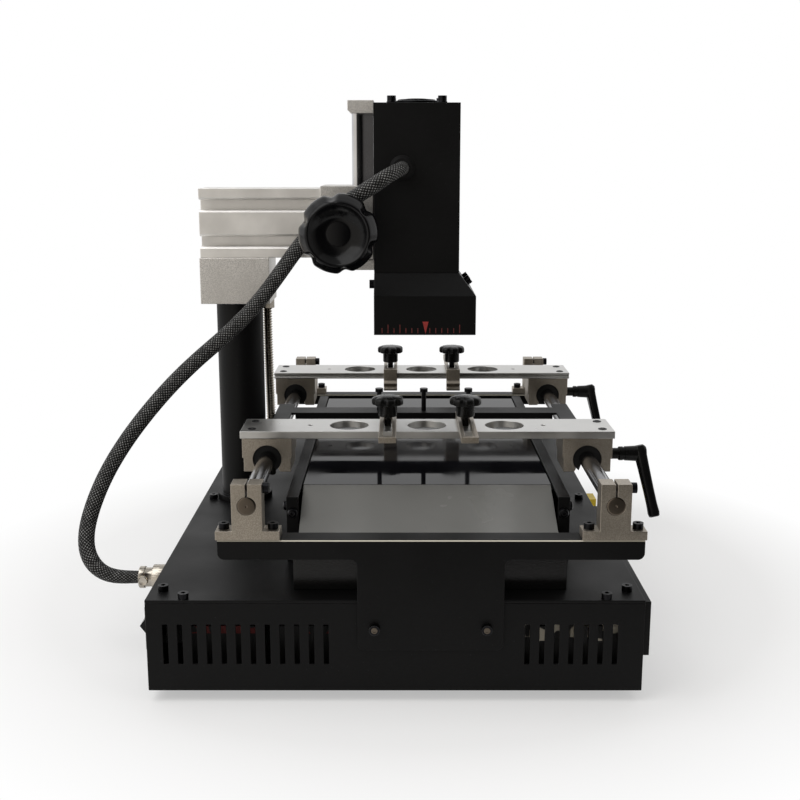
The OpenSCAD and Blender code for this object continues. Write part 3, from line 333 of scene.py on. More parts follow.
def facing(point, along):
    """A place at a point whose own z axis runs along a direction other than upright."""
    z = Vector(along).normalized()
    x = Vector((0, 0, 1)).cross(z).normalized()
    return Matrix.Translation(point) @ Matrix((x, z.cross(x), z)).transposed().to_4x4()


def colour(name, description, default):
    """A colour property."""
    return FloatVectorProperty(
        name=name, description=description, default=default, subtype="COLOR", min=0, max=1)


def length(name, description, default):
    """A size property in metres."""
    return FloatProperty(name=name, description=description, default=default, unit="LENGTH", min=0)


def share(name, description, default):
    """A property from nothing to one."""
    return FloatProperty(
        name=name, description=description, default=default, subtype="FACTOR", min=0, soft_max=1)


def count(name, description, default):
    """A property for a number of things."""
    return IntProperty(name=name, description=description, default=default, min=3)


class StationFinishes(PropertyGroup):
    """Colours and grain of the station's surfaces."""

    coat: colour("Powder coat", "Black coat of the sheet metal", (0.004, 0.004, 0.0042))
    # Painted highlight: the lighter coat edges are partly wear and partly painted highlight; the specks are
    # dust
    coat_wear_and_sheen: colour("Coat wear", "Rubbed edges of the coat", (0.06, 0.06, 0.063))
    # Painted reflection: the aprons are black satin; this grey stands in for the bright backdrop their slope
    # mirrors
    apron: colour("Apron", "Satin coat of the folded aprons", (0.19, 0.19, 0.182))
    # Painted highlight: a pale line along the brackets' bends that stands in for the light they catch
    bend: colour("Bend", "Paint rubbed off the brackets' bends", (0.62, 0.59, 0.5))
    silver: colour("Blasted silver", "Bead-blasted blocks and plates", (0.77, 0.75, 0.72))
    arm: colour("Drawn silver", "Anodised arm", (0.84, 0.825, 0.8))
    cast: colour("Castings", "Warm grey of the supports, blocks and fingers", (0.43, 0.385, 0.325))
    bar: colour("Clamp bar", "Brushed clamp bars", (0.6, 0.595, 0.58))
    steel: colour("Steel", "Ground rods and shafts", (0.55, 0.55, 0.56))
    rod: colour("Guide rod", "Dark ground guide rods", (0.2, 0.2, 0.21))
    rod_end: colour("Rod end", "Turned ends of the guide rods", (0.13, 0.108, 0.085))
    nickel: colour("Nickel", "Plated plug and sockets", (0.5, 0.46, 0.4))
    screw: colour("Screw", "Blackened screws", (0.018, 0.018, 0.02))
    # Painted highlight: the screws' pale rims are partly wear and partly painted highlight
    screw_rim: colour("Screw rim", "Worn rims of the screws", (0.16, 0.16, 0.16))
    plastic: colour("Matte plastic", "Knobs, levers and frames", (0.005, 0.005, 0.005))
    gloss: colour("Gloss plastic", "Handwheel and rocker", (0.003, 0.003, 0.0035))
    rubber: colour("Rubber", "Feet, grommet and seals", (0.008, 0.008, 0.008))
    glass: colour("Glass", "Dark heater glass", (0.006, 0.006, 0.008))
    glass_dust: colour("Glass dust", "Dust on the heater glass", (0.15, 0.15, 0.15))
    ceramic: colour("Ceramic", "Heater plates", (0.72, 0.68, 0.6))
    innards: colour("Innards", "Shadowed blocks behind the louvres", (0.004, 0.004, 0.004))
    cream: colour("Terminals", "Cream terminals behind the right louvres", (0.6, 0.55, 0.45))
    relay: colour("Relay tops", "Red tops behind the left louvres", (0.16, 0.01, 0.008))
    yellow: colour("Sensor socket", "Yellow plastic socket", (0.8, 0.58, 0.02))
    red: colour("Red", "Start button", (0.5, 0.02, 0.015))
    scale: colour("Scale", "Red pointer on the hood", (0.34, 0.025, 0.02))
    tick: colour("Tick", "Fainter ticks beside the pointer", (0.13, 0.013, 0.011))
    digit_red: colour("Red digits", "Measured temperature", (0.8, 0.03, 0.02))
    digit_green: colour("Green digits", "Set temperature", (0.05, 0.6, 0.1))
    mark: colour("Mark", "White marks and keys", (0.7, 0.7, 0.68))
    braid: colour("Braid", "Sleeve of the cable", (0.006, 0.006, 0.006))
    # Painted highlight: shine painted on the crowns of the sleeve's threads
    thread_highlight: colour("Fleck", "Shine of the sleeve's threads", (0.34, 0.34, 0.335))
    coat_grain: length("Coat grain", "Size of the powder coat's grain", 0.0009)
    blast_grain: length("Blast grain", "Size of the blasted grain", 0.0003)


class StationSizes(PropertyGroup):
    """Sizes of the pieces that are shaped here."""

    edge: length("Edge", "Rounding of sheet and block edges", 0.0004)
    cable_d: length("Cable", "Diameter of the sleeved cable", 0.012)
    cable_taper: length("Cable taper", "Length over which the sleeve narrows to its ends", 0.04)
    braid_relief: length("Braid relief", "Height of the sleeve's threads", 0.00022)
    braid_threads: count("Threads", "Threads of the sleeve each way", 14)
    wheel_dent: share("Wheel scallop", "Depth as a share of the radius", 0.09)
    wheel_dents: count("Wheel scallops", "Scallops round the wheel", 6)
    knob_dent: share("Knob scallop", "Depth as a share of the radius", 0.17)
    knob_dents: count("Knob scallops", "Scallops round a knob", 7)
    neck_pitch: length("Gooseneck pitch", "Spacing of the gooseneck's turns", 0.0022)


class StationStage(PropertyGroup):
    """Camera, light and floor."""

    lens: FloatProperty(name="Lens", description="Focal length", default=51.3, subtype="DISTANCE_CAMERA")
    camera_at: FloatVectorProperty(
        name="Camera", description="Place of the camera", subtype="TRANSLATION",
        default=(-0.0073, -0.944, 0.35696))
    camera_turn: FloatVectorProperty(
        name="Camera turn", description="Aim of the camera", subtype="EULER",
        default=(math.radians(78), 0, math.radians(0.03)))
    floor: colour("Floor", "Pale floor", (0.9, 0.9, 0.9))
    room: colour("Room", "Warm tint of the dark room in front", (1, 0.95, 0.88))
    shadow_fade: share("Shadow fade", "How pale the shadow is", 0.45)
    key_level: share("Key light", "Level of the key lamp", 0.45)
    top_level: share("Top light", "Level of the overhead lamp", 0.28)
    fill_level: share("Fill", "Level of the room", 0.48)


class Nodes:
    """Short calls for the nodes of a material or a world."""

    def __init__(self, tree):
        self.nodes = tree.nodes
        self.links = tree.links

    def join(self, socket, value):
        """Sets or links a socket."""
        if isinstance(value, NodeSocket):
            self.links.new(value, socket)
        else:
            socket.default_value = value

    def node(self, kind, inputs, output=0, **options):
        """Adds a node and gives one of its outputs."""
        node = self.nodes.new("ShaderNode" + kind)
        for name, value in options.items():
            setattr(node, name, value)
        for name, value in inputs.items():
            self.join(node.inputs[name], value)
        return node.outputs[output]

    def split(self, vector):
        """The three parts of a vector."""
        return self.node("SeparateXYZ", {0: vector}).node.outputs

    def math(self, operation, first, second=0.0):
        """A sum, product or other step on numbers."""
        return self.node("Math", {0: first, 1: second}, operation=operation)

    def ramp(self, source, low, high, start, end):
        """Spreads a source from low to high over start to end."""
        return self.node(
            "MapRange", {"Value": source, "From Min": low, "From Max": high, "To Min": start, "To Max": end})

    def between(self, amount, first, second):
        """A number between two."""
        return self.node("Mix", {0: amount, 2: first, 3: second})

    def mix(self, amount, first, second):
        """A colour between two."""
        return self.node("Mix", {0: amount, 6: first, 7: second}, 2, data_type="RGBA")


class Finish(Nodes):
    """A material, with calls for what covers its surface."""

    def __init__(self, name, tint, roughness, metallic=0.0, specular=0.5):
        self.material = bpy.data.materials.new(name)
        self.material.use_nodes = True
        super().__init__(self.material.node_tree)
        self.shader = self.nodes["Principled BSDF"]
        self.colour = (*tint, 1)
        self.put("Base Color", self.colour)
        self.put("Roughness", roughness)
        self.put("Metallic", metallic)
        self.put("Specular IOR Level", specular)
        self.place = self.nodes.new("ShaderNodeTexCoord").outputs["Object"]
        self.relief = None

    def put(self, socket, value):
        """Sets or links a socket of the shader."""
        self.join(self.shader.inputs[socket], value)

    def noise(self, size, detail=2.0, stretch=EVEN):
        """Cloudy noise of a size in metres, drawn out along an axis by a stretch below one."""
        place = self.node("Mapping", {"Vector": self.place, "Scale": stretch})
        return self.node("TexNoise", {"Vector": place, "Scale": 1 / size, "Detail": detail})

    def level(self, low, high):
        """One between two heights in metres and nothing above and below."""
        height = self.split(self.place)[2]
        above = self.ramp(height, low, low + LEVEL_BLUR * MM, 0, 1)
        return self.math("MULTIPLY", above, self.ramp(height, high, high + LEVEL_BLUR * MM, 1, 0))

    def edges(self, radius):
        """One along sharp edges and nothing on flat ground."""
        rounded = self.node("Bevel", {"Radius": radius}, samples=4)
        ground = self.node("NewGeometry", {}, "Normal")
        likeness = self.node("VectorMath", {0: rounded, 1: ground}, "Value", operation="DOT_PRODUCT")
        return self.ramp(likeness, *EDGE_SPAN, 0, 1)

    def patchy_edges(self, radius, patch, span, amounts):
        """Sharp edges, in patches of a size between two amounts; the lighter edges they carry are wear, and
        on coats and metals also painted highlight.
        """
        patches = self.ramp(self.noise(patch), *span, *amounts)
        return self.math("MULTIPLY", self.edges(radius), patches)

    def specks(self, size, amount):
        """Scattered specks of a size."""
        return self.ramp(self.noise(size, detail=1), *SPECK_SPAN, 0, amount)

    def bump(self, height, depth):
        """Lays a relief of a depth in metres over the ones before it."""
        inputs = {"Height": height, "Distance": depth}
        if self.relief:
            inputs["Normal"] = self.relief
        self.relief = self.node("Bump", inputs)
        self.put("Normal", self.relief)

    def vary(self, size, spread, rough):
        """Clouds the colour by a spread and the roughness between two levels."""
        clouds = self.noise(size, detail=3)
        dark = tuple(c * (1 - spread) for c in self.colour[:3]) + (1,)
        pale = tuple(min(1, c * (1 + spread)) for c in self.colour[:3]) + (1,)
        shade = self.mix(self.ramp(clouds, *CLOUD_SPAN, 0, 1), dark, pale)
        self.put("Base Color", shade)
        self.put("Roughness", self.ramp(clouds, *CLOUD_SPAN, *rough))
        return shade


def make_coat(name, tint, wear_and_sheen, grain, rough, gloss, band=None, clouds=COAT_CLOUDS):
    """Powder coat with a fine grain, dust, lighter edges that are partly wear and partly painted highlight,
    and perhaps a band of another colour: a painted highlight along a bracket's bend, or the plain black below
    an apron's fold.
    """
    finish = Finish(name, tint, rough[1], specular=gloss)
    shade = finish.vary(60 * MM, clouds, rough)
    shade = finish.mix(finish.specks(1.1 * MM, 0.35), shade, (*wear_and_sheen, 1))
    # Lighter edges: partly wear, partly painted highlight
    patchy_edges = finish.patchy_edges(radius=0.6 * MM, patch=12 * MM, span=(0.42, 0.68), amounts=(0.1, 0.9))
    shade = finish.mix(patchy_edges, shade, (*wear_and_sheen, 1))
    if band:
        low, high, other = band
        shade = finish.mix(finish.level(low, high), shade, (*other, 1))
    finish.put("Base Color", shade)
    finish.bump(finish.noise(grain), 0.06 * MM)


def make_metal(name, tint, grain, relief, rough, stretch=EVEN, speckle=0.0, rim=None):
    """Bare metal with a grain, handling marks, brighter edges that are partly wear and partly painted
    highlight, and perhaps the dark speckle of blasting.
    """
    finish = Finish(name, tint, rough[1], metallic=1.0)
    shade = finish.vary(30 * MM, SOIL, rough)
    if speckle:
        pits = finish.ramp(finish.noise(2 * grain, detail=1), *PIT_SPAN, 1, 0)
        shade = finish.mix(pits, shade, (*(c * (1 - speckle) for c in tint), 1))
    # Brighter edges: partly wear, partly painted highlight
    edge_wear_and_highlight = (*(rim or (min(1, c * 1.25) for c in tint)), 1)
    patchy_edges = finish.patchy_edges(radius=0.5 * MM, patch=8 * MM, span=(0.4, 0.7), amounts=(0.2, 1))
    finish.put("Base Color", finish.mix(patchy_edges, shade, edge_wear_and_highlight))
    finish.bump(finish.noise(grain, stretch=stretch), relief)


def make_plastic(name, tint, grain, relief, rough, gloss):
    """Moulded plastic with a fine grain and handled patches."""
    finish = Finish(name, tint, rough[1], specular=gloss)
    shade = finish.vary(15 * MM, 0.2, rough)
    pale = tuple(min(1, c * 1.6 + 0.02) for c in tint) + (1,)
    patchy_edges = finish.patchy_edges(radius=0.4 * MM, patch=6 * MM, span=(0.45, 0.7), amounts=(0, 0.6))
    finish.put("Base Color", finish.mix(patchy_edges, shade, pale))
    finish.bump(finish.noise(grain), relief)


def make_innards(name, dark, left, right):
    """Blocks in the shade of the base, with coloured tops on the left and on the right."""
    finish = Finish(name, dark, 0.6)
    finish.vary(15 * MM, 0.4, (0.5, 0.7))
    side = finish.split(finish.place)[0]
    tops = finish.mix(finish.ramp(side, -10 * MM, 10 * MM, 0, 1), (*left, 1), (*right, 1))
    high = finish.level(*(height * MM for height in INNARDS_TOPS))
    patches = finish.ramp(finish.noise(9 * MM, detail=0), *PATCH_SPAN, 0, 1)
    finish.put("Base Color", finish.mix(finish.math("MULTIPLY", high, patches), finish.colour, tops))
    finish.bump(finish.noise(0.6 * MM), 0.03 * MM)


def make_glass(name, tint, dust):
    """Dark glass with faint smears."""
    finish = Finish(name, tint, 0.05, specular=0.08)
    smears = finish.noise(50 * MM, detail=4, stretch=(1, 0.3, 1))
    finish.put("Roughness", finish.ramp(smears, 0.45, 0.75, 0.035, 0.14))
    finish.put("Base Color", finish.mix(finish.specks(1.4 * MM, 0.5), finish.colour, (*dust, 1)))


def make_braid(name, tint, thread_highlight):
    """Woven sleeve whose threads cross in two slanted sets, with a painted highlight where they turn over."""
    finish = Finish(name, tint, 0.4, specular=0.2)
    along, around, _ = finish.split(finish.node("UVMap", {}))
    sets = []
    for slant in ("ADD", "SUBTRACT"):
        thread = finish.math(slant, around, along)
        number = finish.math("ROUND", thread)
        sets.append((number, finish.math("ABSOLUTE", finish.math("SUBTRACT", thread, number))))
    (right, off_right), (left, off_left) = sets
    under = finish.math("PINGPONG", finish.math("ADD", right, left), 1.0)
    width = finish.ramp(finish.between(under, off_right, off_left), 0.26, 0.08, 0, 1)
    ends = finish.ramp(finish.between(under, off_left, off_right), 0.42, 0.2, 0, 1)
    crown = finish.math("MULTIPLY", width, ends)
    # Painted highlight on the crowns of the threads, in noisy patches
    shine = finish.math("MULTIPLY", crown, finish.ramp(finish.noise(3 * MM), 0.35, 0.6, 0.35, 1))
    finish.put("Base Color", finish.mix(shine, finish.colour, (*thread_highlight, 1)))
    finish.put("Roughness", finish.ramp(crown, 0, 1, 0.6, 0.35))
    finish.bump(crown, 0.2 * MM)


def finish_of(name):
    """A finish that was mixed before."""
    return bpy.data.materials[name]


def round_edges(solid, edge):
    """Rounds the sharp edges of a solid and keeps its flat faces flat."""
    solid.modifiers.new("Weld", "WELD").merge_threshold = 0.01 * MM
    flat = solid.modifiers.new("Flat faces", "DECIMATE")
    flat.decimate_type = "DISSOLVE"
    flat.angle_limit = math.radians(0.5)
    rounding = solid.modifiers.new("Rounded edges", "BEVEL")
    rounding.width = edge
    rounding.segments = 2
    rounding.limit_method = "ANGLE"
    rounding.angle_limit = math.radians(40)
    rounding.use_clamp_overlap = False
    rounding.loop_slide = False
    solid.modifiers.new("Flat shading", "WEIGHTED_NORMAL").weight = 100


def outline(half_width, half_depth, corner):
    """A rounded rectangle round the origin."""
    points = []
    for turn, (sx, sy) in enumerate(((1, 1), (-1, 1), (-1, -1), (1, -1))):
        for step in range(CORNER_STEPS + 1):
            angle = (turn + step / CORNER_STEPS) * math.pi / 2
            points.append((sx * (half_width - corner) + corner * math.cos(angle),
                           sy * (half_depth - corner) + corner * math.sin(angle)))
    return points


def scallops(number, depth, half_angle, start=0.0):
    """A dent that repeats round a grip, as a share of the radius at an angle."""
    pitch = 2 * math.pi / number

    def dent(angle):
        off = (angle - start + pitch / 2) % pitch - pitch / 2
        return depth * 0.5 * (1 + math.cos(math.pi * off / half_angle)) if abs(off) < half_angle else 0.0

    return dent


def hexagon(angle):
    """The dent that makes a hexagon of a circle."""
    sixth = math.pi / 3
    return 1 - math.cos(sixth / 2) / math.cos(angle % sixth - sixth / 2)


def smooth_route(points, steps):
    """The rounded curve that a row of points draws."""
    row = [2 * points[0] - points[1], *points, 2 * points[-1] - points[-2]]
    curve = []
    for i in range(len(points) - 1):
        for step in range(steps):
            t = step / steps
            weights = ((1 - t) ** 3, 3 * t**3 - 6 * t**2 + 4, 1 + 3 * t + 3 * t**2 - 3 * t**3, t**3)
            curve.append(sum((w * p for w, p in zip(weights, row[i:i + 4])), Vector()) / 6)
    return curve + [points[-1]]


def even_route(points, spacing):
    """The same curve with its points a spacing apart, and its length."""
    total = sum((b - a).length for a, b in zip(points, points[1:]))
    parts = max(2, round(total / spacing))
    route, walked, goal = [points[0]], 0.0, total / parts
    for a, b in zip(points, points[1:]):
        step = (b - a).length
        while walked + step >= goal - 1e-9 and len(route) < parts:
            route.append(a.lerp(b, (goal - walked) / step))
            goal += total / parts
        walked += step
    return route + [points[-1]], total


def route_frames(route):
    """For each point of a route, the two axes across it, without twist."""
    across = None
    frames = []
    for i in range(len(route)):
        ahead = (route[min(i + 1, len(route) - 1)] - route[max(i - 1, 0)]).normalized()
        if across is None:
            across = ahead.orthogonal()
        across = (across - ahead * across.dot(ahead)).normalized()
        frames.append((across, ahead.cross(across)))
    return frames


class Shape:
    """Points and faces of a piece, in metres, in the shared frame."""

    def __init__(self):
        self.points = []
        self.faces = []

    def skin(self, rings, closed=True):
        """Covers a row of equal rings, with flat ends."""
        start, sides = len(self.points), len(rings[0])
        for ring in rings:
            self.points.extend(ring)
        last = start + (len(rings) - 1) * sides
        for low in range(start, last, sides):
            for i in range(sides):
                j = (i + 1) % sides
                self.faces.append((low + i, low + j, low + sides + j, low + sides + i))
        if closed:
            self.faces.append(tuple(range(start + sides - 1, start - 1, -1)))
            self.faces.append(tuple(range(last, last + sides)))
        return self

    def turn(self, profile, place, sides, dent=None, closed=True):
        """A turned form: a profile in millimetres round a place's z axis, dented where it says."""
        rings = []
        for radius, height, *dented in profile:
            ring = []
            for side in range(sides):
                angle = 2 * math.pi * side / sides
                reach = radius * (1 - dented[0] * dent(angle)) if dented else radius
                ring.append(place @ mm(reach * math.cos(angle), reach * math.sin(angle), height))
            rings.append(ring)
        return self.skin(rings, closed)

    def block(self, place, size, corner, edge):
        """A block with round corners and rolled edges, its foot on a place, in millimetres."""
        width, depth, height = size
        rings = []
        for inset, level in ((0, 0), (0, height - edge), (0.3 * edge, height - 0.3 * edge), (edge, height)):
            flat = outline(width / 2 - inset, depth / 2 - inset, max(corner - inset, 0.05))
            rings.append([place @ mm(x, y, level) for x, y in flat])
        return self.skin(rings)

    def tube(self, route, sides, radius):
        """A tube along a route, its radius worked out from the place along it and the angle round it."""
        rings = []
        for i, (point, (u, v)) in enumerate(zip(route, route_frames(route))):
            ring = []
            for side in range(sides):
                angle = 2 * math.pi * side / sides
                ring.append(point + (u * math.cos(angle) + v * math.sin(angle)) * radius(i, angle))
            rings.append(ring)
        return self.skin(rings)

    def make(self, name, material, body, slot, replaces=(), sharp=35, weld=True):
        """Turns the shape into a piece that rides on a body, or on none yet."""
        mesh = bpy.data.meshes.new(name)
        mesh.from_pydata(self.points, [], self.faces)
        work = bmesh.new()
        work.from_mesh(mesh)
        if weld:
            bmesh.ops.remove_doubles(work, verts=work.verts, dist=1e-7)
        bmesh.ops.recalc_face_normals(work, faces=work.faces)
        work.to_mesh(mesh)
        work.free()
        mesh.shade_smooth()
        mesh.set_sharp_from_angle(angle=math.radians(sharp))
        mesh.materials.append(finish_of(material))
        piece = bpy.data.objects.new(name, mesh)
        bpy.context.scene.collection.objects.link(piece)
        if body:
            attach(piece, body)
        if replaces:
            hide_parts(*replaces)
        return piece


class STATION_OT_stage(Operator):
    """Sets up the camera, the floor and the light"""

    bl_idname = "station.stage"
    bl_label = "Stage"

    def execute(self, context):
        stage = context.scene.station_stage
        context.scene.view_settings.view_transform = "Standard"
        self.add_camera(context, stage)
        self.add_world(context, stage)
        self.add_floor(context, stage)
        self.add_lamp(context, "key_lamp", *KEY_LAMP, stage.key_level)
        self.add_lamp(context, "top_lamp", *TOP_LAMP, stage.top_level)
        return {"FINISHED"}

    def add_camera(self, context, stage):
        """Stands the camera where the picture was taken."""
        camera = bpy.data.objects.new("camera", bpy.data.cameras.new("camera"))
        camera.data.lens = stage.lens
        camera.data.sensor_width = 36
        camera.location = stage.camera_at
        camera.rotation_euler = stage.camera_turn
        context.scene.collection.objects.link(camera)
        context.scene.camera = camera

    def add_lamp(self, context, name, place, size, level):
        """A soft lamp that lights a white sheet at the target to a level."""
        lamp = bpy.data.objects.new(name, bpy.data.lights.new(name, "AREA"))
        lamp.data.size = size
        lamp.data.energy = level * math.pi**2 * (place - LAMP_TARGET).length_squared
        lamp.location = place
        lamp.rotation_euler = (LAMP_TARGET - place).to_track_quat("-Z", "Y").to_euler()
        lamp.visible_camera = False
        context.scene.collection.objects.link(lamp)

    def add_world(self, context, stage):
        """White round the part for the eye and for mirrors, with a dark room in front of it."""
        world = bpy.data.worlds.new("room")
        world.use_nodes = True
        context.scene.world = world
        room = Nodes(world.node_tree)
        paths = room.nodes.new("ShaderNodeLightPath").outputs
        side, depth, height = room.split(room.nodes.new("ShaderNodeTexCoord").outputs["Generated"])
        front = room.ramp(side, *ROOM_SPAN, *ROOM_LEVELS)
        back = room.ramp(depth, *BACKDROP_SPAN, 0, 1)
        above = room.ramp(height, *OVERHEAD_SPAN, 1, OVERHEAD_LEVEL)
        mirror = room.math("MULTIPLY", room.between(back, front, BACKDROP_LEVEL), above)
        mirrored = room.math("MAXIMUM", paths["Is Glossy Ray"], paths["Is Transmission Ray"])
        level = room.between(mirrored, stage.fill_level, mirror)
        plain = room.math("MAXIMUM", back, paths["Is Camera Ray"])
        background = room.nodes["Background"].inputs
        room.join(background["Strength"], room.between(paths["Is Camera Ray"], level, 1.0))
        room.join(background["Color"], room.mix(plain, (*stage.room, 1), (1, 1, 1, 1)))

    def add_floor(self, context, stage):
        """A pale sheet that keeps the shadow under the part and turns white further out."""
        finish = Finish("floor_sheet", stage.floor, 0.9, specular=0.1)
        finish.put("Roughness", finish.ramp(finish.noise(0.2), *CLOUD_SPAN, 0.85, 0.95))
        reach = finish.node("VectorMath", {0: finish.place}, "Value", operation="LENGTH")
        away = finish.math("MAXIMUM", finish.ramp(reach, *SHADOW_REACH, 0, 1), stage.shadow_fade)
        seen = finish.nodes.new("ShaderNodeLightPath").outputs["Is Camera Ray"]
        white = finish.node("Emission", {"Color": (1, 1, 1, 1)})
        lit = finish.math("MULTIPLY", seen, away)
        blend = finish.node("MixShader", {0: lit, 1: finish.shader.outputs[0], 2: white})
        finish.links.new(blend, finish.nodes["Material Output"].inputs["Surface"])
        sheets = (("floor", FLOOR_FRONT, FLOOR_REACH), ("floor_front", -FLOOR_REACH, FLOOR_FRONT))
        for name, near, far in sheets:
            corners = ((-FLOOR_REACH, near), (FLOOR_REACH, near), (FLOOR_REACH, far), (-FLOOR_REACH, far))
            mesh = bpy.data.meshes.new(name)
            mesh.from_pydata([(x, y, 0) for x, y in corners], [], [(0, 1, 2, 3)])
            mesh.materials.append(finish.material)
            floor = bpy.data.objects.new(name, mesh)
            floor.visible_glossy = name == "floor"
            context.scene.collection.objects.link(floor)


class STATION_OT_finishes(Operator):
    """Mixes the finishes of all the surfaces"""

    bl_idname = "station.finishes"
    bl_label = "Finishes"

    def execute(self, context):
        f = context.scene.station_finishes
        wear_sheen_and_grain = (f.coat_wear_and_sheen, f.coat_grain)
        make_coat("coat_black", f.coat, *wear_sheen_and_grain, COAT_ROUGH, COAT_GLOSS)
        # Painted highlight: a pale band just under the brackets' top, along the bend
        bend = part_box("front_bracket")[1].z
        bend_highlight = (*(bend - drop * MM for drop in BEND_DROP), f.bend)
        make_coat("coat_bracket", f.coat, *wear_sheen_and_grain, COAT_ROUGH, COAT_GLOSS, bend_highlight)
        # Painted reflection: grey on the aprons' slope; below the fold over the cover they keep the black
        # coat
        below = (0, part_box("top_cover")[1].z + APRON_FOLD * MM, f.coat)
        make_coat("apron_coat_painted_reflection", f.apron, *wear_sheen_and_grain, APRON_ROUGH, APRON_GLOSS, below, APRON_CLOUDS)
        make_metal("silver_blasted", f.silver, f.blast_grain, 0.04 * MM, (0.36, 0.5), speckle=SPECKLE)
        make_metal("silver_cast", f.cast, f.blast_grain, 0.04 * MM, (0.34, 0.48), speckle=SPECKLE)
        make_metal("screw_black", f.screw, 0.5 * MM, 0.02 * MM, (0.3, 0.45), rim=f.screw_rim)
        for name, tint, grain, relief, rough, stretch in METALS:
            make_metal(name, getattr(f, tint), grain * MM, relief * MM, rough, stretch)
        for name, tint, grain, relief, rough, gloss in PLASTICS:
            make_plastic(name, getattr(f, tint), grain * MM, relief * MM, rough, gloss)
        make_innards("innards_dark", f.innards, f.relay, f.cream)
        make_glass("heater_glass", f.glass, f.glass_dust)
        make_braid("cable_braid", f.braid, f.thread_highlight)
        return {"FINISHED"}


class STATION_OT_cable(Operator):
    """Lays the braided cable from its plug to the head"""

    bl_idname = "station.cable"
    bl_label = "Cable"

    def execute(self, context):
        sizes = context.scene.station_sizes
        drawn = smooth_route([at(*point) for point in CABLE_ROUTE], ROUTE_STEPS)
        route, total = even_route(drawn, CABLE_STEP * MM)
        threads = sizes.braid_threads
        pitch = math.pi * sizes.cable_d / threads
        spacing = total / (len(route) - 1)
        radius = sizes.cable_d / 2 - sizes.braid_relief

        def thread(i, angle):
            walked = i * spacing
            right = threads * angle + 2 * math.pi * walked / pitch
            left = threads * angle - 2 * math.pi * walked / pitch
            at_plug = PLUG_SQUEEZE + (1 - PLUG_SQUEEZE) * walked / sizes.cable_taper
            at_head = HEAD_SQUEEZE + (1 - HEAD_SQUEEZE) * (total - walked) / sizes.cable_taper
            lift = THREAD_FLANK + (1 - THREAD_FLANK) * max(math.cos(right), math.cos(left))
            return radius * min(1, at_plug, at_head) + sizes.braid_relief * lift

        sides = 4 * threads
        cable = Shape().tube(route, sides, thread).make(
            "cable_sleeve", "cable_braid", "", "braid", ("heater_cable",), sharp=180, weld=False)
        self.lay_weave(cable.data, sides, spacing / pitch, threads / sides)
        plug = self.make_plug()
        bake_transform(cable)
        return {"FINISHED"}

    def lay_weave(self, mesh, sides, along, around):
        """Unrolls the sleeve so that one square is one crossing of its threads."""
        weave = mesh.uv_layers.new(name="weave")
        for face in mesh.polygons:
            columns = [mesh.loops[loop].vertex_index % sides for loop in face.loop_indices]
            wraps = max(columns) - min(columns) > sides / 2
            for loop, column in zip(face.loop_indices, columns):
                row = mesh.loops[loop].vertex_index // sides
                turned = column + sides if wraps and column < sides / 2 else column
                weave.data[loop].uv = (row * along, turned * around)

    def make_plug(self):
        """The plated plug with its knurled nut and cable clamp."""
        place = facing(in_box("heater_plug", 1, 0.5, 0.5) + mm(PLUG_SEAT, 0, 0), (-1, 0, 0))
        shape = Shape().turn(PLUG_PROFILE, place, 120, scallops(KNURLS, KNURL_DEPTH, math.pi / KNURLS))
        for side in (1, -1):
            ear = place @ shift(side * EAR_REACH, 0, EAR_RISE)
            shape.block(ear, EAR_SIZE, corner=1, edge=0.4)
            screw = ear @ Matrix.Rotation(side * math.pi / 2, 4, "Y") @ shift(0, 0, EAR_SCREW_RISE)
            shape.turn(EAR_SCREW_PROFILE, screw, 20)
        return shape.make("cable_plug", "nickel", "base", "steel", ("heater_plug",))


class STATION_OT_solids(Operator):
    """Finishes the solids whose shape is kept"""

    bl_idname = "station.solids"
    bl_label = "Solids"

    def execute(self, context):
        for finish, names in (*ROUNDED_SOLIDS.items(), *PLAIN_SOLIDS.items()):
            for name in names:
                solid = frame["nodes"][name]
                solid.material_slots[0].material = finish_of(finish)
                if finish in ROUNDED_SOLIDS:
                    round_edges(solid, context.scene.station_sizes.edge)
        return {"FINISHED"}


class STATION_OT_handwheel(Operator):
    """Moulds the lift's dished handwheel with its finger scallops"""

    bl_idname = "station.handwheel"
    bl_label = "Handwheel"

    def execute(self, context):
        sizes = context.scene.station_sizes
        back = in_box("handwheel", 0.5, 1, 0.5)
        dent = scallops(sizes.wheel_dents, sizes.wheel_dent, WHEEL_DENT_HALF, WHEEL_DENT_START)
        Shape().turn(WHEEL_PROFILE, facing(back, (0, -1, 0)), 180, dent).make(
            "lift_handwheel", "plastic_gloss", "handwheel", "gloss_black", ("handwheel",))
        return {"FINISHED"}


class STATION_OT_knobs(Operator):
    """Moulds the star knobs of the four fingers"""

    bl_idname = "station.knobs"
    bl_label = "Star knobs"

    def execute(self, context):
        sizes = context.scene.station_sizes
        dent = scallops(sizes.knob_dents, sizes.knob_dent, KNOB_DENT_HALF)
        for name in ("front_left", "front_right", "rear_left", "rear_right"):
            place = Matrix.Translation(in_box(name + "_knob", 0.5, 0.5, 0))
            Shape().turn(KNOB_PROFILE, place, 126, dent).make(
                name + "_star_knob", "plastic_matte", name + "_knob_body", "black_plastic", (name + "_knob",))
        return {"FINISHED"}


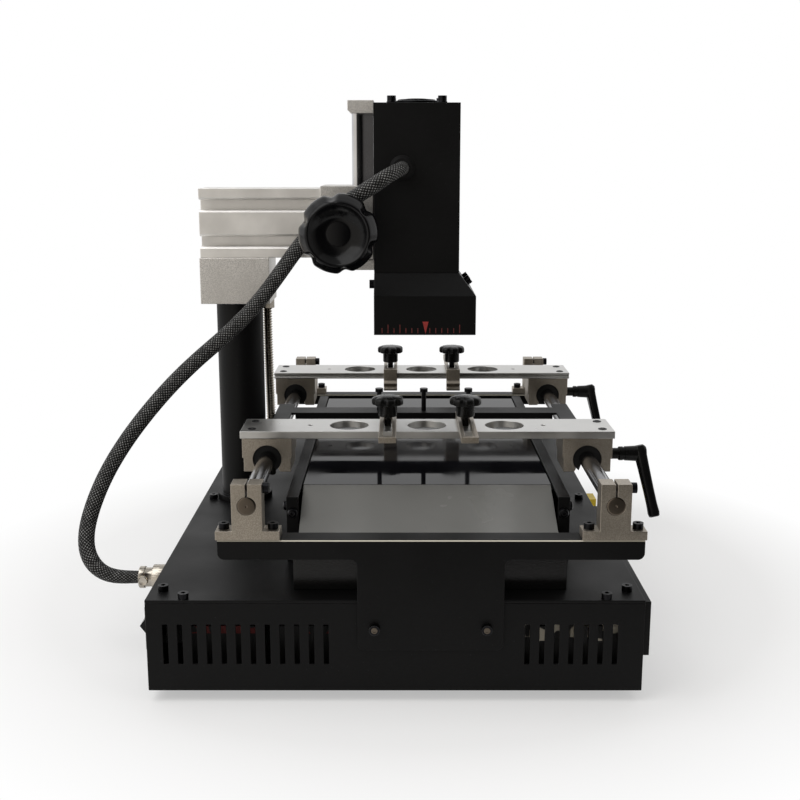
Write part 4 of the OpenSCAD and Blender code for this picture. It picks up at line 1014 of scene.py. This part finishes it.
class STATION_OT_levers(Operator):
    """Moulds the two clamp levers with their hubs"""

    bl_idname = "station.levers"
    bl_label = "Clamp levers"

    def execute(self, context):
        axis = in_box("guide_rods", 0.5, 0.5, 0.5).z
        for name in ("front", "rear"):
            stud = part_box(name + "_clamp_lever")[0].x + LEVER_STUD * MM
            pivot = Vector((stud, in_box(name + "_bar_blocks", 0.5, 0.5, 0.5).y, axis))
            shape = Shape().turn(LEVER_HUB_PROFILE, facing(pivot, (1, 0, 0)), 40)
            lean = Matrix.Translation(pivot) @ Matrix.Rotation(LEVER_LEAN, 4, "X")
            arm = lean @ shift(LEVER_ROOT, 0, 0) @ Matrix.Rotation(LEVER_FLARE, 4, "Y")
            rings = []
            for level, half_width, half_thick in LEVER_SECTIONS:
                flat = outline(half_thick, half_width, min(half_thick, half_width) * LEVER_ROUNDING)
                rings.append([arm @ mm(LEVER_OFFSET + x, y, level) for x, y in flat])
            shape.skin(rings).make(
                name + "_lever", "plastic_matte", name + "_lever", "black_plastic", (name + "_clamp_lever",))
        return {"FINISHED"}


class STATION_OT_gooseneck(Operator):
    """Winds the sensor's gooseneck with its fitting and tip"""

    bl_idname = "station.gooseneck"
    bl_label = "Gooseneck"

    def execute(self, context):
        pitch = context.scene.station_sizes.neck_pitch
        drawn = smooth_route([at(*point) for point in GOOSENECK_ROUTE], ROUTE_STEPS)
        route, total = even_route(drawn, pitch / 8)
        spacing = total / (len(route) - 1)

        def rib(i, angle):
            return (NECK_R + NECK_RIB * math.cos(2 * math.pi * i * spacing / pitch + angle)) * MM

        shape = Shape().tube(route, 20, rib)
        shape.turn(NECK_FITTING_PROFILE, Matrix.Translation(route[0]), 48, hexagon)
        shape.turn(NECK_TIP_PROFILE, Matrix.Translation(route[-1] - mm(0, 0, NECK_TIP_L)), 32)
        shape.make("sensor_neck", "nickel", "base", "steel", ("sensor_gooseneck",))
        return {"FINISHED"}


class STATION_OT_scale(Operator):
    """Prints the red centre scale on the head's hood"""

    bl_idname = "station.scale"
    bl_label = "Head scale"

    def execute(self, context):
        origin = in_box("head_hood", 0.5, 0, 0) + mm(SCALE_SHIFT, 0, 0)
        ink = Shape()
        for tick in TICKS:
            tall = LONG_TICK if tick in LONG_TICKS else SHORT_TICK
            foot = origin + mm(tick * TICK_PITCH - TICK_SHIFT, 0, TICK_FOOT + tall / 2)
            ink.block(facing(foot, (0, -1, 0)), (TICK_W, tall, INK), corner=0.2, edge=0.02)
        ink.make("head_ticks", "tick_red", "head", "button_red")
        tip = origin + mm(0, 0, POINTER_FOOT)
        triangle = [tip, tip + mm(POINTER_HALF, 0, POINTER_H), tip + mm(-POINTER_HALF, 0, POINTER_H)]
        pointer = Shape().skin([triangle, [point - mm(0, INK, 0) for point in triangle]])
        pointer.make("head_pointer", "scale_red", "head", "button_red")
        return {"FINISHED"}


class STATION_OT_fasteners(Operator):
    """Sets the small screws of the clamp bars and the heater rails"""

    bl_idname = "station.fasteners"
    bl_label = "Fasteners"

    def execute(self, context):
        for name in ("front", "rear"):
            top = in_box(name + "_clamp_bar", 0.5, 0.5, 1)
            screws = Shape()
            for x in (-BAR_SCREW_X, BAR_SCREW_X):
                for y in (-BAR_SCREW_Y, BAR_SCREW_Y):
                    screws.turn(SCREW_PROFILE, Matrix.Translation(top + mm(x, y, 0)), SCREW_SIDES, hexagon)
            screws.make(name + "_bar_screws", "screw_black", name + "_bar", "black_screw")
        self.screw_rails()
        self.line_sockets()
        return {"FINISHED"}

    def screw_rails(self):
        """Button screws at the front end of each rail, on its face and its outer side."""
        screws = Shape()
        for side in (-1, 1):
            front = in_box("heater_rails", 0.5, 0, 1) + mm(side * RAIL_SCREW_X, 0, -RAIL_SCREW_DROP)
            screws.turn(BUTTON_SCREW_PROFILE, facing(front, (0, -1, 0)), SCREW_SIDES, hexagon)
            outer = in_box("heater_rails", (side + 1) / 2, 0, 1)
            outer += mm(0, RAIL_SIDE_INSET, -RAIL_SIDE_INSET)
            screws.turn(BUTTON_SCREW_PROFILE, facing(outer, (side, 0, 0)), SCREW_SIDES, hexagon)
        screws.make("rail_screws", "screw_black", "base", "black_screw")

    def line_sockets(self):
        """Bright hexagon linings in the screws of the brackets' tongues."""
        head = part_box("cap_screws")
        middle = sum(corner.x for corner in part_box("front_bracket")) / 2
        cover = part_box("top_cover")[1].z
        linings = Shape()
        for face, along in ((head[0].y, -1), (head[1].y, 1)):
            for side in (-1, 1):
                spot = Vector((middle + side * TONGUE_SCREW_X * MM, face, cover - TONGUE_SCREW_DROP * MM))
                linings.turn(SOCKET_PROFILE, facing(spot, (0, along, 0)), SCREW_SIDES, hexagon)
        linings.make("socket_linings", "rod_end", "base", "steel")


class STATION_OT_rod_ends(Operator):
    """Turns chamfered ends on the guide rods"""

    bl_idname = "station.rod_ends"
    bl_label = "Rod ends"

    def execute(self, context):
        low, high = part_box("guide_rods")
        radius = (high.z - low.z) / 2
        size = radius / MM
        profile = (
            (0, -0.3), (size, -0.3), (size, 0.02), (size - 0.6, 0.35), (size - 0.9, 0.38), (0.9, 0.38),
            (0.8, 0.3), (0, 0.1),
        )
        ends = Shape()
        for x in (low.x + radius, high.x - radius):
            for y, along in ((low.y, -1), (high.y, 1)):
                ends.turn(profile, facing(Vector((x, y, low.z + radius)), (0, along, 0)), 48)
        ends.make("rod_end_faces", "rod_end", "base", "steel")
        return {"FINISHED"}


class STATION_OT_grille(Operator):
    """Bends the domed wire grille over the head's fan"""

    bl_idname = "station.grille"
    bl_label = "Fan grille"

    def execute(self, context):
        foot = in_box("fan_guard", 0.5, 0.5, 0) + mm(0, 0, WIRE_R)
        wires = Shape()
        for radius, height in GRILLE_RINGS:
            wires.turn(self.wire(radius, height), Matrix.Translation(foot), 72, closed=False)
        for turn in range(4):
            around = Matrix.Rotation(math.radians(45 + 90 * turn), 4, "Z")
            eye = foot + around @ mm(GRILLE_EYE, 0, 0)
            wires.turn(self.wire(GRILLE_EYE_R, 0), Matrix.Translation(eye), 32, closed=False)
            spoke = [foot + around @ mm(reach, 0, height) for reach, height in GRILLE_SPOKE]
            wires.tube(smooth_route(spoke, 6), WIRE_SIDES, lambda i, angle: WIRE_R * MM)
        wires.make("fan_grille", "screw_black", "head", "steel", ("fan_guard",))
        return {"FINISHED"}

    def wire(self, radius, height):
        """The round section of a ring of wire."""
        turns = [2 * math.pi * step / WIRE_SIDES for step in range(WIRE_SIDES + 1)]
        return [(radius + WIRE_R * math.cos(turn), height + WIRE_R * math.sin(turn)) for turn in turns]


class STATION_OT_displays(Operator):
    """Fits the temperature controllers with windows, digits and keys"""

    bl_idname = "station.displays"
    bl_label = "Controller displays"

    def execute(self, context):
        windows, keys = Shape(), Shape()
        lines = {finish: Shape() for finish, _, _ in READINGS}
        for end, inset in ((0, CONTROLLER_HALF), (1, -CONTROLLER_HALF)):
            middle = in_box("temperature_controllers", 1, end, 0.5) + mm(0, inset, 0)
            face = facing(middle, (1, 0, 0))
            windows.block(face @ shift(*WINDOW_AT), WINDOW_SIZE, corner=0.4, edge=0.1)
            for finish, start, figures in READINGS:
                self.write(lines[finish], face, start, figures)
            for key in KEYS_AT:
                keys.block(face @ shift(*key), KEY_SIZE, corner=1.4, edge=0.35)
        windows.make("controller_windows", "plastic_gloss", "base", "gloss_black")
        keys.make("controller_keys", "mark_white", "base", "black_plastic")
        for finish, shape in lines.items():
            shape.make("controller_" + finish, finish, "base", "button_red")
        return {"FINISHED"}

    def write(self, shape, face, start, figures):
        """Draws figures in seven strokes each, from a start in millimetres."""
        for place, figure in enumerate(figures):
            for stroke in FIGURES[figure]:
                x, y, upright = STROKES[stroke]
                spot = shift(start + place * FIGURE_PITCH + x, FIGURE_Y + y, FIGURE_Z)
                shape.block(face @ spot, UPRIGHT_STROKE if upright else LEVEL_STROKE, corner=0.3, edge=0.04)


class STATION_OT_inlet(Operator):
    """Stands the pins in the mains inlet and marks the rocker"""

    bl_idname = "station.inlet"
    bl_label = "Mains inlet"

    def execute(self, context):
        pins = Shape()
        for along, up in PINS_AT:
            foot = in_box("power_entry", 0, 0.5, 0.5) + mm(PIN_INSET, along, up)
            pins.block(facing(foot, (-1, 0, 0)), PIN_SIZE, corner=0.4, edge=0.5)
        pins.make("inlet_pins", "nickel", "base", "steel")
        marks = Shape().block(self.half_of_rocker(1), ON_MARK, corner=0.3, edge=0.02)
        marks.turn(OFF_MARK_PROFILE, self.half_of_rocker(-1), 32, closed=False)
        marks.make("rocker_marks", "mark_white", "rocker", "black_plastic")
        return {"FINISHED"}

    def half_of_rocker(self, side):
        """The place of a mark on the upper or the lower half of the rocker."""
        spot = in_box("power_rocker", 0, 0.5, 0.5) + mm(MARK_INSET, 0, side * MARK_RISE)
        return facing(spot, (-ROCKER_OUT, 0, side * ROCKER_UP))


class STATION_PT_panel(Panel):
    """Lists the steps of the dressing"""

    bl_idname = "STATION_PT_panel"
    bl_label = "Rework station"
    bl_space_type = "VIEW_3D"
    bl_region_type = "UI"
    bl_category = "Station"

    def draw(self, context):
        for step in STEPS:
            self.layout.operator(step.bl_idname)
        for name, group in GROUPS.items():
            for setting in group.__annotations__:
                self.layout.prop(getattr(context.scene, name), setting)


GROUPS = {
    "station_finishes": StationFinishes,
    "station_sizes": StationSizes,
    "station_stage": StationStage,
}
STEPS = (
    STATION_OT_stage, STATION_OT_finishes, STATION_OT_cable, STATION_OT_solids, STATION_OT_handwheel,
    STATION_OT_knobs, STATION_OT_levers, STATION_OT_gooseneck, STATION_OT_scale, STATION_OT_fasteners,
    STATION_OT_rod_ends, STATION_OT_grille, STATION_OT_displays, STATION_OT_inlet,
)
CLASSES = (*GROUPS.values(), *STEPS, STATION_PT_panel)


def register():
    for made in CLASSES:
        bpy.utils.register_class(made)
    for name, group in GROUPS.items():
        setattr(bpy.types.Scene, name, PointerProperty(type=group))


def unregister():
    for name in GROUPS:
        delattr(bpy.types.Scene, name)
    for made in reversed(CLASSES):
        bpy.utils.unregister_class(made)


def main():
    register()
    for step in STEPS:
        group, name = step.bl_idname.split(".")
        getattr(getattr(bpy.ops, group), name)()


if __name__ == "__main__":
    main()
